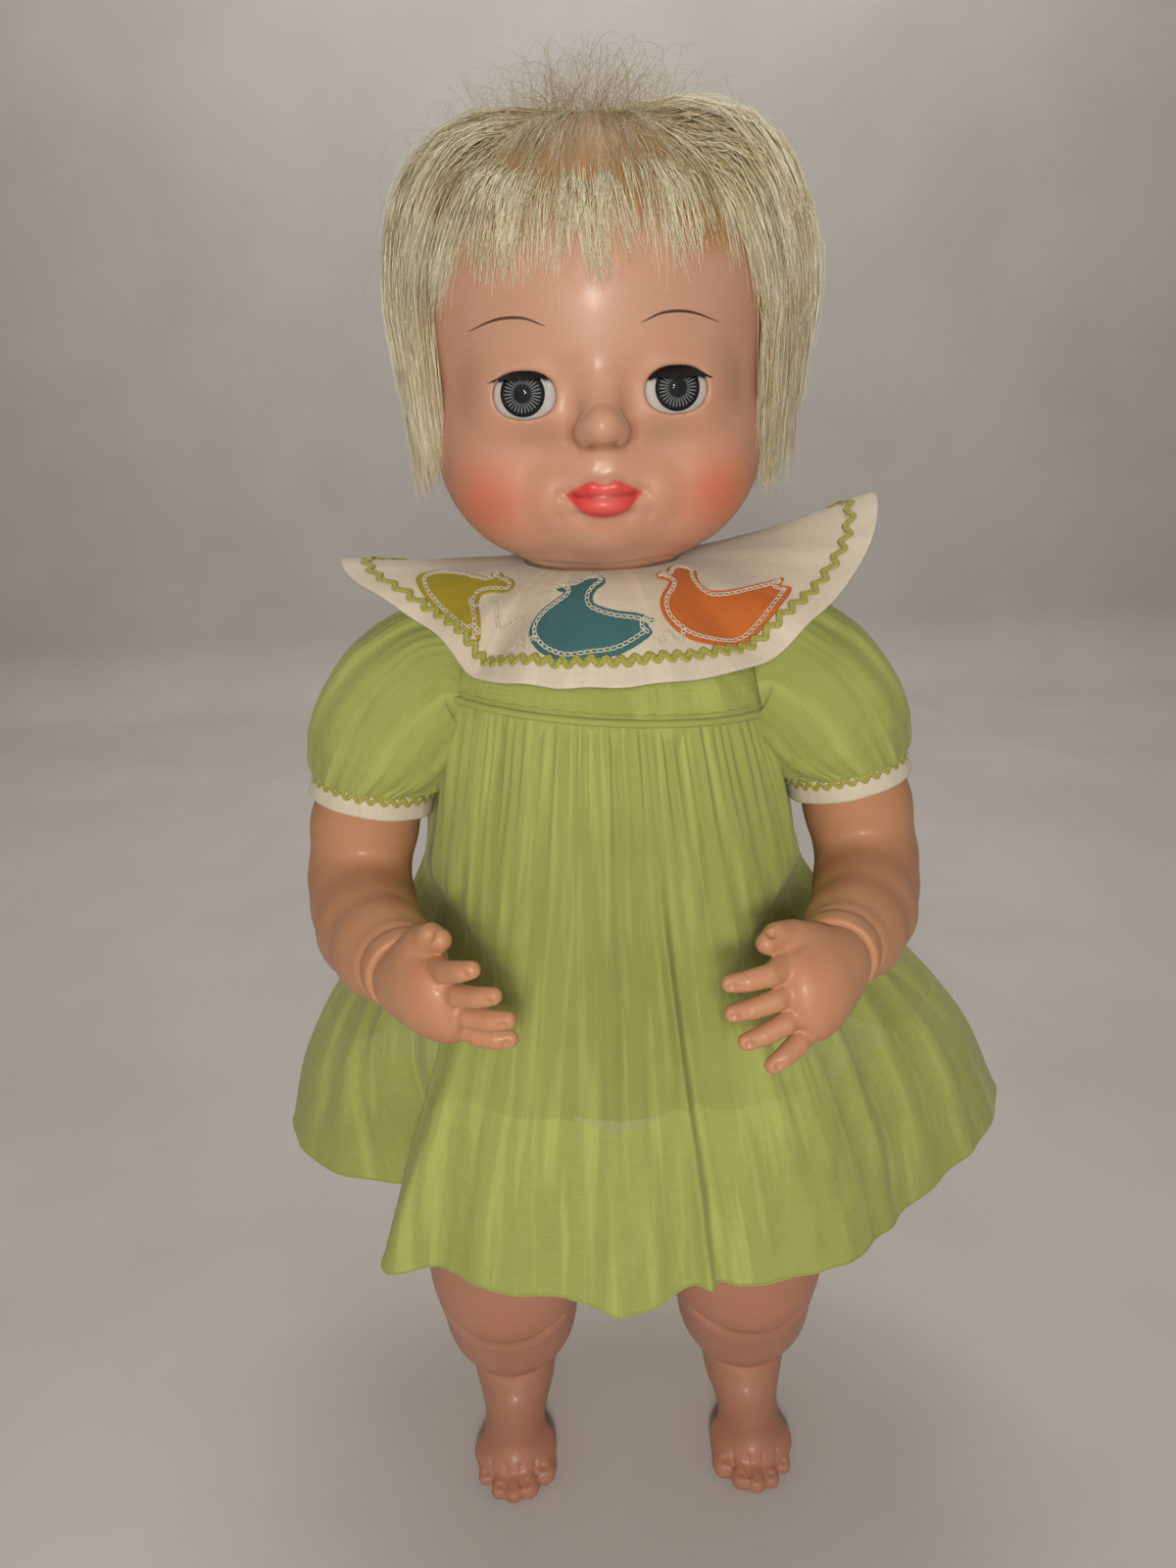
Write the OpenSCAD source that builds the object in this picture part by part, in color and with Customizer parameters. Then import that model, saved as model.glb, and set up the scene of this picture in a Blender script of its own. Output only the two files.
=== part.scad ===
// Standing baby doll whose mouth puckers when its arms are pressed together.
// Millimetres, +Z up, the doll faces -Y, its left side is +X, and it stands on z = 0.

/* [Head] */
// Height of the crown above the floor
crown_z = 549; // [545:1:552]
// Wall of the soft head moulding
head_wall = 2.5; // [2:0.1:3]
// Distance of each eye from the middle
eye_x = 23; // [22:0.5:24]
// Radius of the eyeball
eye_r = 13; // [12.5:0.1:13]
// How far the hair stands off the scalp
hair_depth = 10; // [6:0.5:12]

/* [Body] */
// Wall of the hard body shells
body_wall = 2.5; // [2:0.1:3]
// Height of the shoulder centres
shoulder_z = 365; // [364:0.5:366]
// Distance of each shoulder centre from the middle
shoulder_x = 64; // [63.5:0.1:65]
// Tilt of the hip axis below the horizontal
hip_tilt = 28; // [24:1:30]

/* [Limbs] */
// Radius of the shoulder ball
ball_r = 21; // [20:0.1:21]
// Wall of the arm moulding
arm_wall = 2.5; // [2:0.1:3]
// Turn of the right hand about its wrist
right_hand_turn = -28; // [-60:1:60]
// Turn of the left hand about its wrist
left_hand_turn = 24; // [-60:1:60]

/* [Dress] */
// Height of the piping at the high waist
waist_z = 360; // [358:1:362]
// Half width of the skirt at its hem
hem_half_w = 150; // [130:1:155]
// Half depth of the skirt at its hem
hem_half_d = 124; // [112:1:125]
// Height of the hem above the floor
hem_z = 152; // [146:1:160]
// Thickness of the cloth solids
cloth = 2; // [1.5:0.1:2.5]

/* [Mechanism] */
// Radius of the shoulder pins and guide rods
pin_r = 2; // [1.8:0.1:2]
// Radial clearance of pins in their bores
fit = 0.06; // [0.03:0.01:0.09]

/* [Hidden] */

sides = 24;       // corners of a ring in the larger lofts
limb_sides = 18;  // corners of a ring in the arms
gap = 0.4;        // room between neighbours that do not move on each other
big = 400;        // a size larger than the doll, for cutting

// Each ring is [x, y, z, tilt about Y, half width, half depth], listed upwards.
head_rings = [
    [0, 0, 396.4, 0, 24, 24], [0, 0, 406, 0, 23.5, 23.5], [0, -2, 412, 0, 31, 29], [0, -6, 417, 0, 43, 41],
    [0, -6, 425, 0, 52, 50], [0, -4, 437, 0, 57, 57], [0, -2, 451, 0, 59, 61], [0, 1, 466, 0, 60, 64],
    [0, 3, 485, 0, 61, 66], [0, 4, 504, 0, 58, 64], [0, 5, 521, 0, 51, 57], [0, 6, 534, 0, 41, 46],
    [0, 6, 543, 0, 28, 31], [0, 6, crown_z, 0, 12, 14]
];
torso_rings = [
    [0, 2, 184, 0, 20, 26], [0, 2, 191, 0, 42, 40], [0, 1, 204, 0, 56, 48], [0, 0, 222, 0, 63, 52],
    [0, -1, 250, 0, 65, 54], [0, 0, 285, 0, 61, 50], [0, 0, 320, 0, 58, 45], [0, 0, 346, 0, 60, 43],
    [0, 0, 366, 0, 60, 40], [0, 0, 379, 0, 49, 34], [0, 0, 388, 0, 34, 29], [0, 0, 392, 0, 27, 26]
];
leg_rings = [
    [54, -14, 0, 0, 14, 33], [54, -13, 3, 0, 17.5, 37], [54, -12, 11, 0, 18.5, 37], [54, -6, 20, 0, 18, 30],
    [54, 2, 29, 0, 17.5, 23], [54, 5, 38, 0, 17.5, 19.5], [54, 5, 45, 0, 20, 21.5], [54, 3, 56, 0, 25, 26],
    [53.5, 0, 69, 0, 29, 29.5], [53, -3, 82, 0, 31.5, 32], [53, -3, 96, 0, 33, 33.5],
    [53, -1, 140, 0, 33.5, 34.5], [52, 0, 165, 15, 34.5, 35], [47, 1, 185, 40, 34.5, 34],
    [40.3, 2, 202.8, 90 - hip_tilt, 33, 33]
];
skirt_rings = [
    [0, 0, hem_z, 0, hem_half_w, hem_half_d], [0, 0, 170, 0, hem_half_w - 8, hem_half_d - 8],
    [0, 0, 205, 0, 114, 99], [0, 0, 240, 0, 92, 81], [0, 0, 272, 0, 78, 67], [0, 0, 305, 0, 72, 58],
    [0, 0, 335, 0, 68, 52], [0, 0, waist_z - 2, 0, 65, 47]
];

hip = [40, 2, 203];                            // centre of the left leg's hip disc
hip_axis = [cos(hip_tilt), 0, -sin(hip_tilt)]; // points out of the body on the left
shoulder = [shoulder_x, 0, shoulder_z];
cuff_centre = [shoulder_x + 25, -8, shoulder_z - 35];
elbow = [shoulder_x + 36, -10, shoulder_z - 80];
wrist = [shoulder_x + 6, -90, shoulder_z - 76];
forearm = (wrist - elbow) / norm(wrist - elbow);
eye = [eye_x, -43, 466];
lash_angle = 24;                               // how far the lashes stand above straight ahead
lid_t = 0.6;
iris_r = 5.7;
iris_back = 10.3;                              // eye centre to the floor of the iris pocket

// The plates of the mechanism frame, the height that the levers work at, and the back of the frame.
lower_plate_z = 357;
upper_plate_z = 370.5;
plate_t = 2.5;
lever_z = 365;
rear_y = 30.8;
press_lever = 45;                              // shoulder pin to lever tip
bellows_z = 334;
head_crank = [0, -10, 424];
body_crank_pin = [0, 10, 376];
mouth_z = 436;

// The arm's path from the shoulder to the wrist: [point, radius].
arm_path = [
    [shoulder, 17], [shoulder + [17.5, -2, -18], 18], [cuff_centre, 19.5], [elbow + [-3, 2, 18], 18.5],
    [elbow + [0, -1, 3], 18], [elbow + [-2, -12, -4], 17.5], [elbow + [-9, -32, -3], 17],
    [elbow + [-19, -56, 1], 15], [wrist - 5 * forearm, 12.8], [wrist, 12.3]
];

function unit(v) = v / norm(v);
cuff_down = unit(elbow - cuff_centre);
sleeve_path = [shoulder, shoulder + [12, -3, -14], cuff_centre - 8 * cuff_down, cuff_centre - cuff_down];
// Faces of a closed ring of n sections with m corners each.
function ring_faces(n, m) = [for (i = [0 : n - 1]) for (k = [0 : m - 1])
    let (j = (i + 1) % n, l = (k + 1) % m)
    each [[i * m + k, i * m + l, j * m + l], [i * m + k, j * m + l, j * m + k]]];
function ring_points(r, n) = [for (k = [0 : n - 1]) let (a = 360 * k / n) [
    r[0] + r[4] * cos(a) * cos(r[3]), r[1] + r[5] * sin(a), r[2] + r[4] * cos(a) * sin(r[3])]];
function grown(rings, by) = [for (r = rings) [r[0], r[1], r[2], r[3], r[4] + by, r[5] + by]];
function stretched(rings, middle, factor) =
    [for (r = rings) [r[0], r[1], middle + (r[2] - middle) * factor, r[3], r[4], r[5]]];
function tangent(p, i) = unit(p[min(i + 1, len(p) - 1)] - p[max(i - 1, 0)]);
function across(t, ref) = unit(ref - (ref * t) * t);
function tube_points(path, radii, ref, n) = [for (i = [0 : len(path) - 1])
    let (t = tangent(path, i), u = across(t, ref), v = cross(t, u))
    for (k = [0 : n - 1]) let (a = 360 * k / n)
        path[i] + radii[i][0] * cos(a) * u + radii[i][1] * sin(a) * v];
function points_of(path) = [for (p = path) p[0]];
function radii_of(path, by) = [for (p = path) [p[1] + by, p[1] + by]];

// A closed skin over rings that all have n points.
module skin(points, n) {
    last = len(points) / n - 1;
    polyhedron(points, concat(
        [[for (k = [0 : n - 1]) k]],
        [for (i = [0 : last - 1]) for (k = [0 : n - 1]) each [
            [i * n + k, (i + 1) * n + k, (i + 1) * n + (k + 1) % n],
            [i * n + k, (i + 1) * n + (k + 1) % n, i * n + (k + 1) % n]]],
        [[for (k = [n - 1 : -1 : 0]) last * n + k]]), convexity = 6);
}

module loft(rings, n = sides) {
    skin([for (r = rings) each ring_points(r, n)], n);
}

module tube(path, radii, ref, n) {
    skin(tube_points(path, radii, ref, n), n);
}

// Turns +Z to the direction d and moves it to p.
module aim(p, d) {
    translate(p) rotate([0, acos(d[2] / norm(d)), atan2(d[1], d[0])]) children();
}

module rod_x(p, r, low, high) {
    translate([p[0] + low, p[1], p[2]]) rotate([0, 90, 0]) cylinder(r = r, h = high - low, $fn = 48);
}

module rod_y(x, z, r, low, high) {
    translate([x, high, z]) rotate([90, 0, 0]) cylinder(r = r, h = high - low, $fn = 48);
}

module block(low, high) {
    translate(low) cube(high - low);
}

module both_sides() {
    for (s = [0, 1]) mirror([s, 0, 0]) children();
}

module right_side() {
    mirror([1, 0, 0]) children();
}

// Everything on the body's side of the left hip plane, moved inwards by a distance.
module inside_hip(inset) {
    aim(hip - inset * hip_axis, -hip_axis) translate([-big, -big, 0]) cube([2 * big, 2 * big, big]);
}

// ---- body -----------------------------------------------------------------

module torso_outer(by = 0) {
    intersection() {
        loft(grown(torso_rings, by));
        inside_hip(0);
        right_side() inside_hip(0);
    }
}

module torso_inner() {
    inner = stretched(grown(torso_rings, -body_wall), 288, 1 - body_wall / 104);
    intersection() {
        loft(inner);
        inside_hip(body_wall);
        right_side() inside_hip(body_wall);
    }
}

boss_places = [[30, 228], [-30, 228], [34, 318], [-34, 318]];

module torso_shell(front) {
    boss_r = 4.5;
    screw_r = 1.7;
    joint_gap = 0.1;
    difference() {
        union() {
            difference() {
                torso_outer();
                torso_inner();
            }
            intersection() {
                torso_outer();
                for (b = boss_places) rod_y(b[0], b[1], boss_r, -60, 60);
            }
        }
        // the other half
        if (front) block([-big, -joint_gap, 0], [big, big, big]);
        else block([-big, -big, 0], [big, joint_gap, big]);
        // neck opening
        translate([0, 0, 360]) cylinder(r = 15.1, h = 40, $fn = 64);
        translate([0, 0, 380]) cylinder(r = 19, h = 9.4, $fn = 64);
        // shoulder sockets and leg holes
        both_sides() {
            translate(shoulder) sphere(r = ball_r + gap, $fn = 64);
            aim(hip - 10 * hip_axis, hip_axis) cylinder(r = 14.1, h = 20, $fn = 64);
        }
        // screw holes: through the back, blind in the front
        for (b = boss_places) {
            rod_y(b[0], b[1], front ? screw_r - 0.2 : screw_r, front ? -20 : -1, 60);
            if (!front) rod_y(b[0], b[1], 3.4, 24, 60);
        }
    }
}

module torso_front_shell() {
    color("#c9956e") torso_shell(true);
}

module torso_back_shell() {
    color("#c9956e") torso_shell(false);
}

module shell_screws() {
    color("#b8b8b4") for (b = boss_places) difference() {
        union() {
            rod_y(b[0], b[1], 1.4, -18, 24.2);
            rod_y(b[0], b[1], 3, 24.2, 26.4);
        }
        block([b[0] - 2.4, 25.6, b[1] - 0.4], [b[0] + 2.4, 27, b[1] + 0.4]);
    }
}

// ---- mechanism in the body --------------------------------------------------

module frame_plate(z, half_w, window_low, window_high) {
    difference() {
        union() {
            block([-half_w, -8, z], [half_w, rear_y, z + plate_t]);
            block([-shoulder_x, -5, z], [shoulder_x, 5, z + plate_t]);
            both_sides() translate([shoulder_x, 0, z]) cylinder(r = 6.5, h = plate_t, $fn = 48);
        }
        both_sides() translate([shoulder_x, 0, z - 1]) cylinder(r = pin_r + fit, h = 5, $fn = 48);
        block([window_low[0], window_low[1], z - 1], [window_high[0], window_high[1], z + 5]);
    }
}

module mechanism_frame() {
    color("#8d8f86") difference() {
        union() {
            frame_plate(lower_plate_z, 30, [-24.7, -0.8], [24.7, 20]);
            frame_plate(upper_plate_z, 18, [-6.6, -5], [6.6, 20]);
            block([-18, rear_y - plate_t, 322], [18, rear_y, upper_plate_z + plate_t]);
            both_sides() {
                block([8, -8, lower_plate_z + 1], [14, -5, upper_plate_z + 1]);
                block([6.6, 5, upper_plate_z + 1], [8.6, 15, 380]);
            }
            rod_x(body_crank_pin, 1.5, -8, 8);
        }
        both_sides() rod_y(11, lever_z, pin_r + fit, -12, 40);
        rod_y(0, bellows_z, 4, rear_y - 5, rear_y + 5);
    }
}

module shoulder_pins() {
    color("#c4c4c0") both_sides() translate([shoulder_x, 0, lower_plate_z - 1.5]) {
        cylinder(r = pin_r, h = 19, $fn = 48);
        translate([0, 0, -1.2]) cylinder(r = pin_r + 1, h = 2.4, $fn = 48);
    }
}

module guide_rods() {
    color("#c4c4c0") both_sides() rod_y(11, lever_z, pin_r, -8, rear_y);
}

// A coil spring along Y from low to high.
module spring(x, z, low, high) {
    turns = 6;
    steps = 8;
    mean_r = 3.7;
    path = [for (i = [0 : turns * steps]) let (a = 360 * i / steps, s = i / (turns * steps))
        [x + mean_r * cos(a), low + (high - low) * s, z + mean_r * sin(a)]];
    tube(path, [for (p = path) [0.5, 0.5]], [0, 1, 0], 5);
}

module return_springs() {
    color("#a9a9a4") both_sides() spring(11, lever_z, 7.4, rear_y - plate_t - 0.7);
}

module squeaker_bellows() {
    folds = 5;
    pitch = 3.7;
    outer_r = 9;
    inner_r = 6.4;
    wall = 0.8;
    profile = concat(
        [for (i = [0 : 2 * folds]) [i % 2 == 0 ? inner_r : outer_r, i * pitch / 2]],
        [for (i = [2 * folds : -1 : 0]) [(i % 2 == 0 ? inner_r : outer_r) - wall, i * pitch / 2]]);
    color("#7a3f32") translate([0, 8.9 + folds * pitch, bellows_z]) rotate([90, 0, 0]) {
        rotate_extrude($fn = 64) polygon(profile);
        cylinder(r = inner_r, h = wall, $fn = 64);
        translate([0, 0, folds * pitch - wall]) cylinder(r = inner_r, h = wall, $fn = 64);
    }
}

module squeaker_reed() {
    color("#c8a94e") difference() {
        union() {
            rod_y(0, bellows_z, 3.9, rear_y - 3.1, rear_y + 3);
            rod_y(0, bellows_z, 5.5, rear_y + 0.2, rear_y + 3);
        }
        rod_y(0, bellows_z, 1.5, rear_y - 2, rear_y + 4);
    }
}

module crosshead() {
    face_y = 0.4;
    color("#b9ad8c") difference() {
        union() {
            both_sides() block([4.5, face_y, 330], [24, face_y + 6, 369.9]);
            block([-24, face_y, 324], [24, face_y + 7.6, 349]);
        }
        both_sides() rod_y(11, lever_z, pin_r + fit, -5, 12);
    }
}

module body_crank() {
    p = body_crank_pin;
    color("#9c9c96") difference() {
        union() {
            rod_x(p, 3.2, -6.2, 6.2);
            both_sides() block([2.8, -3, p[2] - 1], [5, p[1], p[2] + 1]);
            block([-1.8, p[1] - 1.5, 346.5], [1.8, p[1] + 1.5, p[2]]);
            rod_x([0, p[1], 346.5], 1.5, -1.8, 1.8);
        }
        rod_x(p, 1.5 + fit, -10, 10);
    }
}

module pull_wire() {
    knob_r = 2.2;
    low = body_crank_pin[2] - 1 - 0.6 - knob_r;
    high = head_crank[2] + 1 + 1.2 + knob_r;
    color("#b5b5b0") {
        translate([0, 0, low]) cylinder(r = 1, h = high - low, $fn = 32);
        for (z = [low, high]) rod_x([0, 0, z], knob_r, -4.6, 4.6);
    }
}

// Carries the arm on its axle and pushes the crosshead with its lever.
module yoke() {
    color("#b9ad8c") difference() {
        union() {
            translate([shoulder_x, 0, lower_plate_z + plate_t + 0.3])
                cylinder(r = 6, h = upper_plate_z - lower_plate_z - plate_t - 0.6, $fn = 48);
            block([shoulder_x - press_lever, -5.5, lever_z - 3], [shoulder_x - 3, -0.5, lever_z + 3]);
            translate([shoulder_x - press_lever, -3, lever_z - 3]) cylinder(r = 3, h = 6, $fn = 48);
            rod_x(shoulder, 4, 2, 12.4);
            rod_x(shoulder, 5.4, 7.2, 8.8);
        }
        translate([shoulder_x, 0, 340]) cylinder(r = pin_r + fit, h = 50, $fn = 48);
        rod_x(shoulder, 1.5, 4, 20);
    }
}

module yoke_left() {
    yoke();
}

module yoke_right() {
    right_side() yoke();
}

module arm_screw() {
    color("#b8b8b4") {
        rod_x(shoulder, 1.4, 5, 13.5);
        rod_x(shoulder, 6.5, 12.6, 13.8);
        rod_x(shoulder, 3, 13.8, 15.4);
    }
}

module arm_screw_left() {
    arm_screw();
}

module arm_screw_right() {
    right_side() arm_screw();
}

// ---- head ---------------------------------------------------------------------

module neck_flange() {
    color("#b98a66") rotate_extrude($fn = 72) polygon([
        [8, 386.3], [18.4, 386.3], [18.4, 388.8], [15.02, 389], [15.02, 392.6], [21.2, 393],
        [21.2, 399], [8, 399]]);
}

module head_inner() {
    middle = 475;
    loft(stretched(grown(head_rings, -head_wall), middle, 1 - head_wall / 74));
}

// The almond opening that an eye looks out of.
module eye_opening() {
    wide_r = 12.5;
    rise = 3.5;
    intersection_for (s = [-1, 1]) rod_y(eye[0], eye[2] + s * rise, wide_r, -90, eye[1]);
}

module ear() {
    ring_r = 6.5;
    rim_r = 2.6;
    translate([58, 8, 462]) rotate([0, 90, 0]) rotate_extrude($fn = 48) polygon([
        [0, 0], [ring_r + rim_r, 0], [ring_r + rim_r, 5], [ring_r, 7.5], [ring_r - rim_r, 5], [0, 4]]);
}

module head_shell() {
    color("#d3a27c") difference() {
        union() {
            loft(head_rings);
            both_sides() ear();
            translate([0, -62, 455.5]) sphere(r = 6, $fn = 32);
        }
        head_inner();
        translate([0, 0, 390]) cylinder(r = 22, h = 14, $fn = 64);
        both_sides() {
            eye_opening();
            translate(eye) sphere(r = eye_r + 0.5, $fn = 64);
            rod_y(eye[0], eye[2], eye_r + 2.8, eye[1] - 3.5, eye[1] + 15);
        }
    }
}

module hair() {
    low = 427;
    face_y = -34;
    fringe_z = 489;
    outer = [for (r = head_rings) if (r[2] > low - 4)
        [r[0], r[1] + 2, r[2] + hair_depth * max(0, r[2] - 485) / 64, 0,
         r[4] + hair_depth + 5 * sin(180 * (r[2] - 420) / 130), r[5] + hair_depth]];
    color("#e2cd9a") difference() {
        loft(outer);
        loft(grown(stretched(head_rings, 475, 1.006), gap));
        block([-big, -big, 0], [big, big, low]);
        block([-50, -big, 0], [50, face_y, fringe_z]);
        both_sides() translate([63, 9, 466]) sphere(r = 17, $fn = 32);
    }
}

module mouth_guide() {
    p = head_crank;
    color("#b9ad8c") difference() {
        union() {
            block([-12, -16, 399.3], [12, 12, 402]);
            both_sides() block([4.8, p[1] - 5, 401], [6.8, p[1] + 5, 442]);
            both_sides() block([4.8, -38, 430], [6.8, p[1] - 4, 442]);
            block([-5, -38, 430], [5, -30, 442]);
            rod_x(p, 1.5, -6, 6);
        }
        translate([0, 0, 390]) cylinder(r = 7, h = 20, $fn = 48);
        rod_y(0, mouth_z, 2 + 0.1, -45, -25);
    }
}

module mouth_slider() {
    color("#9c9c96") difference() {
        union() {
            rod_y(0, mouth_z, 2, -51, -13);
            block([-15, -52, mouth_z - 4], [15, -50, mouth_z + 4]);
            both_sides() rod_y(13, mouth_z, 2.5, -54, -51);
            block([-3.8, -15, mouth_z - 5], [3.8, -5.5, mouth_z + 5]);
        }
        block([-2, head_crank[1] - 3.2, mouth_z - 6], [2, head_crank[1] + 2.6, mouth_z + 6]);
    }
}

module mouth_crank() {
    p = head_crank;
    color("#9c9c96") difference() {
        union() {
            rod_x(p, 3.2, -4.5, 4.5);
            both_sides() block([2.8, p[1], p[2] - 1], [4.4, 3, p[2] + 1]);
            block([-1.5, p[1] - 1.3, p[2]], [1.5, p[1] + 1.3, mouth_z + 1]);
        }
        rod_x(p, 1.5 + fit, -10, 10);
    }
}

// ---- eyes -----------------------------------------------------------------------

// A cup that is open in front and behind, with a bore on each side for the ball's axle.
module eye_casing() {
    inner_r = eye_r + gap;
    outer_r = eye_r + 2.4;
    front = -12;
    back = 30;
    steps = 6;
    arc = [for (i = [0 : steps]) front + (back - front) * i / steps];
    profile = concat(
        [for (a = arc) outer_r * [cos(a), sin(a)] / cos((back - front) / steps / 2)],
        [for (i = [steps : -1 : 0]) inner_r * [cos(arc[i]), sin(arc[i])] / cos((back - front) / steps / 2)]);
    color("#6d665c") difference() {
        translate(eye) rotate([-90, 0, 0]) rotate_extrude($fn = 64) polygon(profile);
        rod_x(eye, 1 + fit, -20, 20);
    }
}

module eye_casing_left() {
    eye_casing();
}

module eye_casing_right() {
    right_side() eye_casing();
}

module eyeball() {
    color("#f2efe8") difference() {
        union() {
            translate(eye) sphere(r = eye_r - lid_t - 0.05, $fn = 64);
            rod_x(eye, 1, -eye_r - 1.8, eye_r + 1.8);
        }
        rod_y(eye[0], eye[2], iris_r + 0.1, eye[1] - 20, eye[1] - iris_back);
    }
}

// A domed disc in the pocket at the front of the ball.
module iris() {
    dome_r = eye_r - lid_t - 0.15;
    color("#5f7d8c") translate(eye) rotate([90, 0, 0]) rotate_extrude($fn = 64) polygon(concat(
        [[0, iris_back + 0.05], [iris_r, iris_back + 0.05]],
        [for (r = [iris_r, iris_r * 0.66, iris_r * 0.33, 0]) [r, sqrt(dome_r * dome_r - r * r)]]));
}

// The skin-coloured cap over the top of the ball.
module eyelid() {
    color("#cf9e78") difference() {
        translate(eye) sphere(r = eye_r, $fn = 64);
        translate(eye) sphere(r = eye_r - lid_t, $fn = 64);
        translate(eye) rotate([-lash_angle, 0, 0]) block([-30, -30, -30], [30, 30, 0]);
        rod_x(eye, 1.2, -20, 20);
    }
}

module lashes() {
    strands = 9;
    color("#33231b") translate(eye) rotate([-lash_angle, 0, 0])
        for (i = [0 : strands - 1]) rotate([0, 0, (i - (strands - 1) / 2) * 5.2])
            block([-0.35, -eye_r - 3.4, 0.1], [0.35, -eye_r - 0.05, 0.8]);
}

module eye_weight() {
    color("#70706e") translate(eye) rotate([-45, 0, 0]) {
        rod_y(0, 0, 1.6, eye_r - 0.4, eye_r + 7);
        translate([0, eye_r + 9, 0]) rotate([0, 90, 0]) cylinder(r = 4.5, h = 9, center = true, $fn = 48);
    }
}

module eyeball_left() {
    eyeball();
}

module eyeball_right() {
    right_side() eyeball();
}

module iris_left() {
    iris();
}

module iris_right() {
    right_side() iris();
}

module eyelid_left() {
    eyelid();
}

module eyelid_right() {
    right_side() eyelid();
}

module lashes_left() {
    lashes();
}

module lashes_right() {
    right_side() lashes();
}

module eye_weight_left() {
    eye_weight();
}

module eye_weight_right() {
    right_side() eye_weight();
}

// ---- limbs ------------------------------------------------------------------------

// The arm's outside, made larger or smaller all over.
module arm_form(by) {
    translate(shoulder) sphere(r = ball_r + by, $fn = 64);
    tube(points_of(arm_path), radii_of(arm_path, by), [1, 0, 0.4], limb_sides);
}

module arm() {
    neck_r = 6;
    color("#c48a63") difference() {
        union() {
            difference() {
                arm_form(0);
                arm_form(-arm_wall);
            }
            // the wall that the axle runs in, and the wall at the wrist
            rod_x(shoulder, 17.5, 9.2, 12.2);
            aim(wrist - 3 * forearm, forearm) cylinder(r = 11.4, h = 3, $fn = 48);
        }
        rod_x(shoulder, 4 + fit, 0, 13);
        rod_x(shoulder, 14, -30, 0);
        aim(wrist - 20 * forearm, forearm) cylinder(r = neck_r + fit, h = 40, $fn = 48);
    }
}

module arm_left() {
    arm();
}

module arm_right() {
    right_side() arm();
}

// A hand pointing along +Z, thumb on +X, back of the hand on +Y.
module hand_form() {
    palm = [[0, 0, 0.3], [0, 0, 4], [0, -2.5, 14], [0, -7, 24], [0, -11, 31]];
    palm_radii = [[12, 12], [13, 11.5], [15, 10.5], [15.5, 9], [12.5, 6]];
    tube(palm, palm_radii, [1, 0, 0], 16);
    for (i = [0 : 3]) {
        x = 7.4 * (i - 1.5);
        reach = 19 - 1.6 * abs(i - 1.8);
        root = [x * 0.95, -8.5, 25];
        path = [root, root + [x * 0.06, -5, 7], root + [x * 0.1, -0.62 * reach, 0.72 * reach],
            root + [x * 0.1, -0.86 * reach, 0.86 * reach]];
        tube(path, [[4, 4], [3.9, 3.9], [3.6, 3.4], [2.2, 2]], [1, 0, 0], 10);
    }
    thumb = [[9, -3, 7], [15, -6, 14], [18, -10, 20], [18.6, -13, 25]];
    tube(thumb, [[5.5, 5], [5, 4.6], [4.4, 4], [2.6, 2.2]], [1, 0, 0], 10);
}

// The right hand, turned about its wrist.
module hand(turn) {
    up = across(forearm, [0, 0, 1]);
    palm_out = cross(forearm, up);
    m = [for (row = [0 : 2]) [up[row], palm_out[row], forearm[row], wrist[row]]];
    color("#c48a63") multmatrix(concat(m, [[0, 0, 0, 1]])) mirror([0, 1, 0]) rotate([0, 0, turn]) {
        hand_form();
        translate([0, 0, -5]) cylinder(r = 6, h = 6, $fn = 48);
        translate([0, 0, -6.2]) cylinder(r = 8.5, h = 2.4, $fn = 48);
    }
}

module hand_left() {
    hand(left_hand_turn);
}

module hand_right() {
    right_side() hand(right_hand_turn);
}

// A toe's centre, from its distance across the foot: the toes lie on the foot's rounded front.
function toe_centre(x) = [54 + x, -13 - 34.5 * sqrt(1 - pow(x / 19, 2)), 5.8];

module leg() {
    toe_r = [5.6, 4.6, 4.3, 4.1, 3.8];
    color("#b97a55") {
        loft(leg_rings, 20);
        for (i = [0 : 4]) translate(toe_centre(6.1 * (i - 2))) sphere(r = toe_r[i], $fn = 32);
        aim(hip - 5.5 * hip_axis, hip_axis) cylinder(r = 14, h = 6.5, $fn = 64);
        aim(hip - 5.8 * hip_axis, hip_axis) cylinder(r = 15.5, h = 2.6, $fn = 64);
    }
}

module leg_left() {
    leg();
}

module leg_right() {
    right_side() leg();
}

// ---- dress ------------------------------------------------------------------------

module bodice() {
    color("#c9cc3e") difference() {
        loft(grown(torso_rings, gap + cloth));
        loft(grown(stretched(torso_rings, 288, 1.003), gap));
        block([-big, -big, 0], [big, big, waist_z + 2.4]);
        block([-big, -big, 391], [big, big, big]);
        both_sides() translate(shoulder) sphere(r = ball_r + 3.5, $fn = 48);
    }
}

// A ring of cloth tube that follows the body's outline at the high waist.
module waist_piping() {
    n = 40;
    m = 6;
    r = 1.6;
    points = [for (i = [0 : n - 1]) let (a = 360 * i / n) for (k = [0 : m - 1]) let (b = 360 * k / m)
        [(64.4 + r * cos(b)) * cos(a), (45.6 + r * cos(b)) * sin(a), waist_z + r * sin(b)]];
    color("#c9cc3e") difference() {
        polyhedron(points, ring_faces(n, m), convexity = 6);
        both_sides() translate(shoulder) sphere(r = ball_r + 4.5, $fn = 48);
    }
}

// The room that the sleeve and cuff take beside the skirt.
module sleeve_room() {
    translate(shoulder) sphere(r = 30, $fn = 48);
    tube(concat(sleeve_path, [cuff_centre + 9 * cuff_down]), [for (r = [31, 32, 31, 28, 26]) [r, r]],
        [1, 0, 0.4], limb_sides);
}

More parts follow.
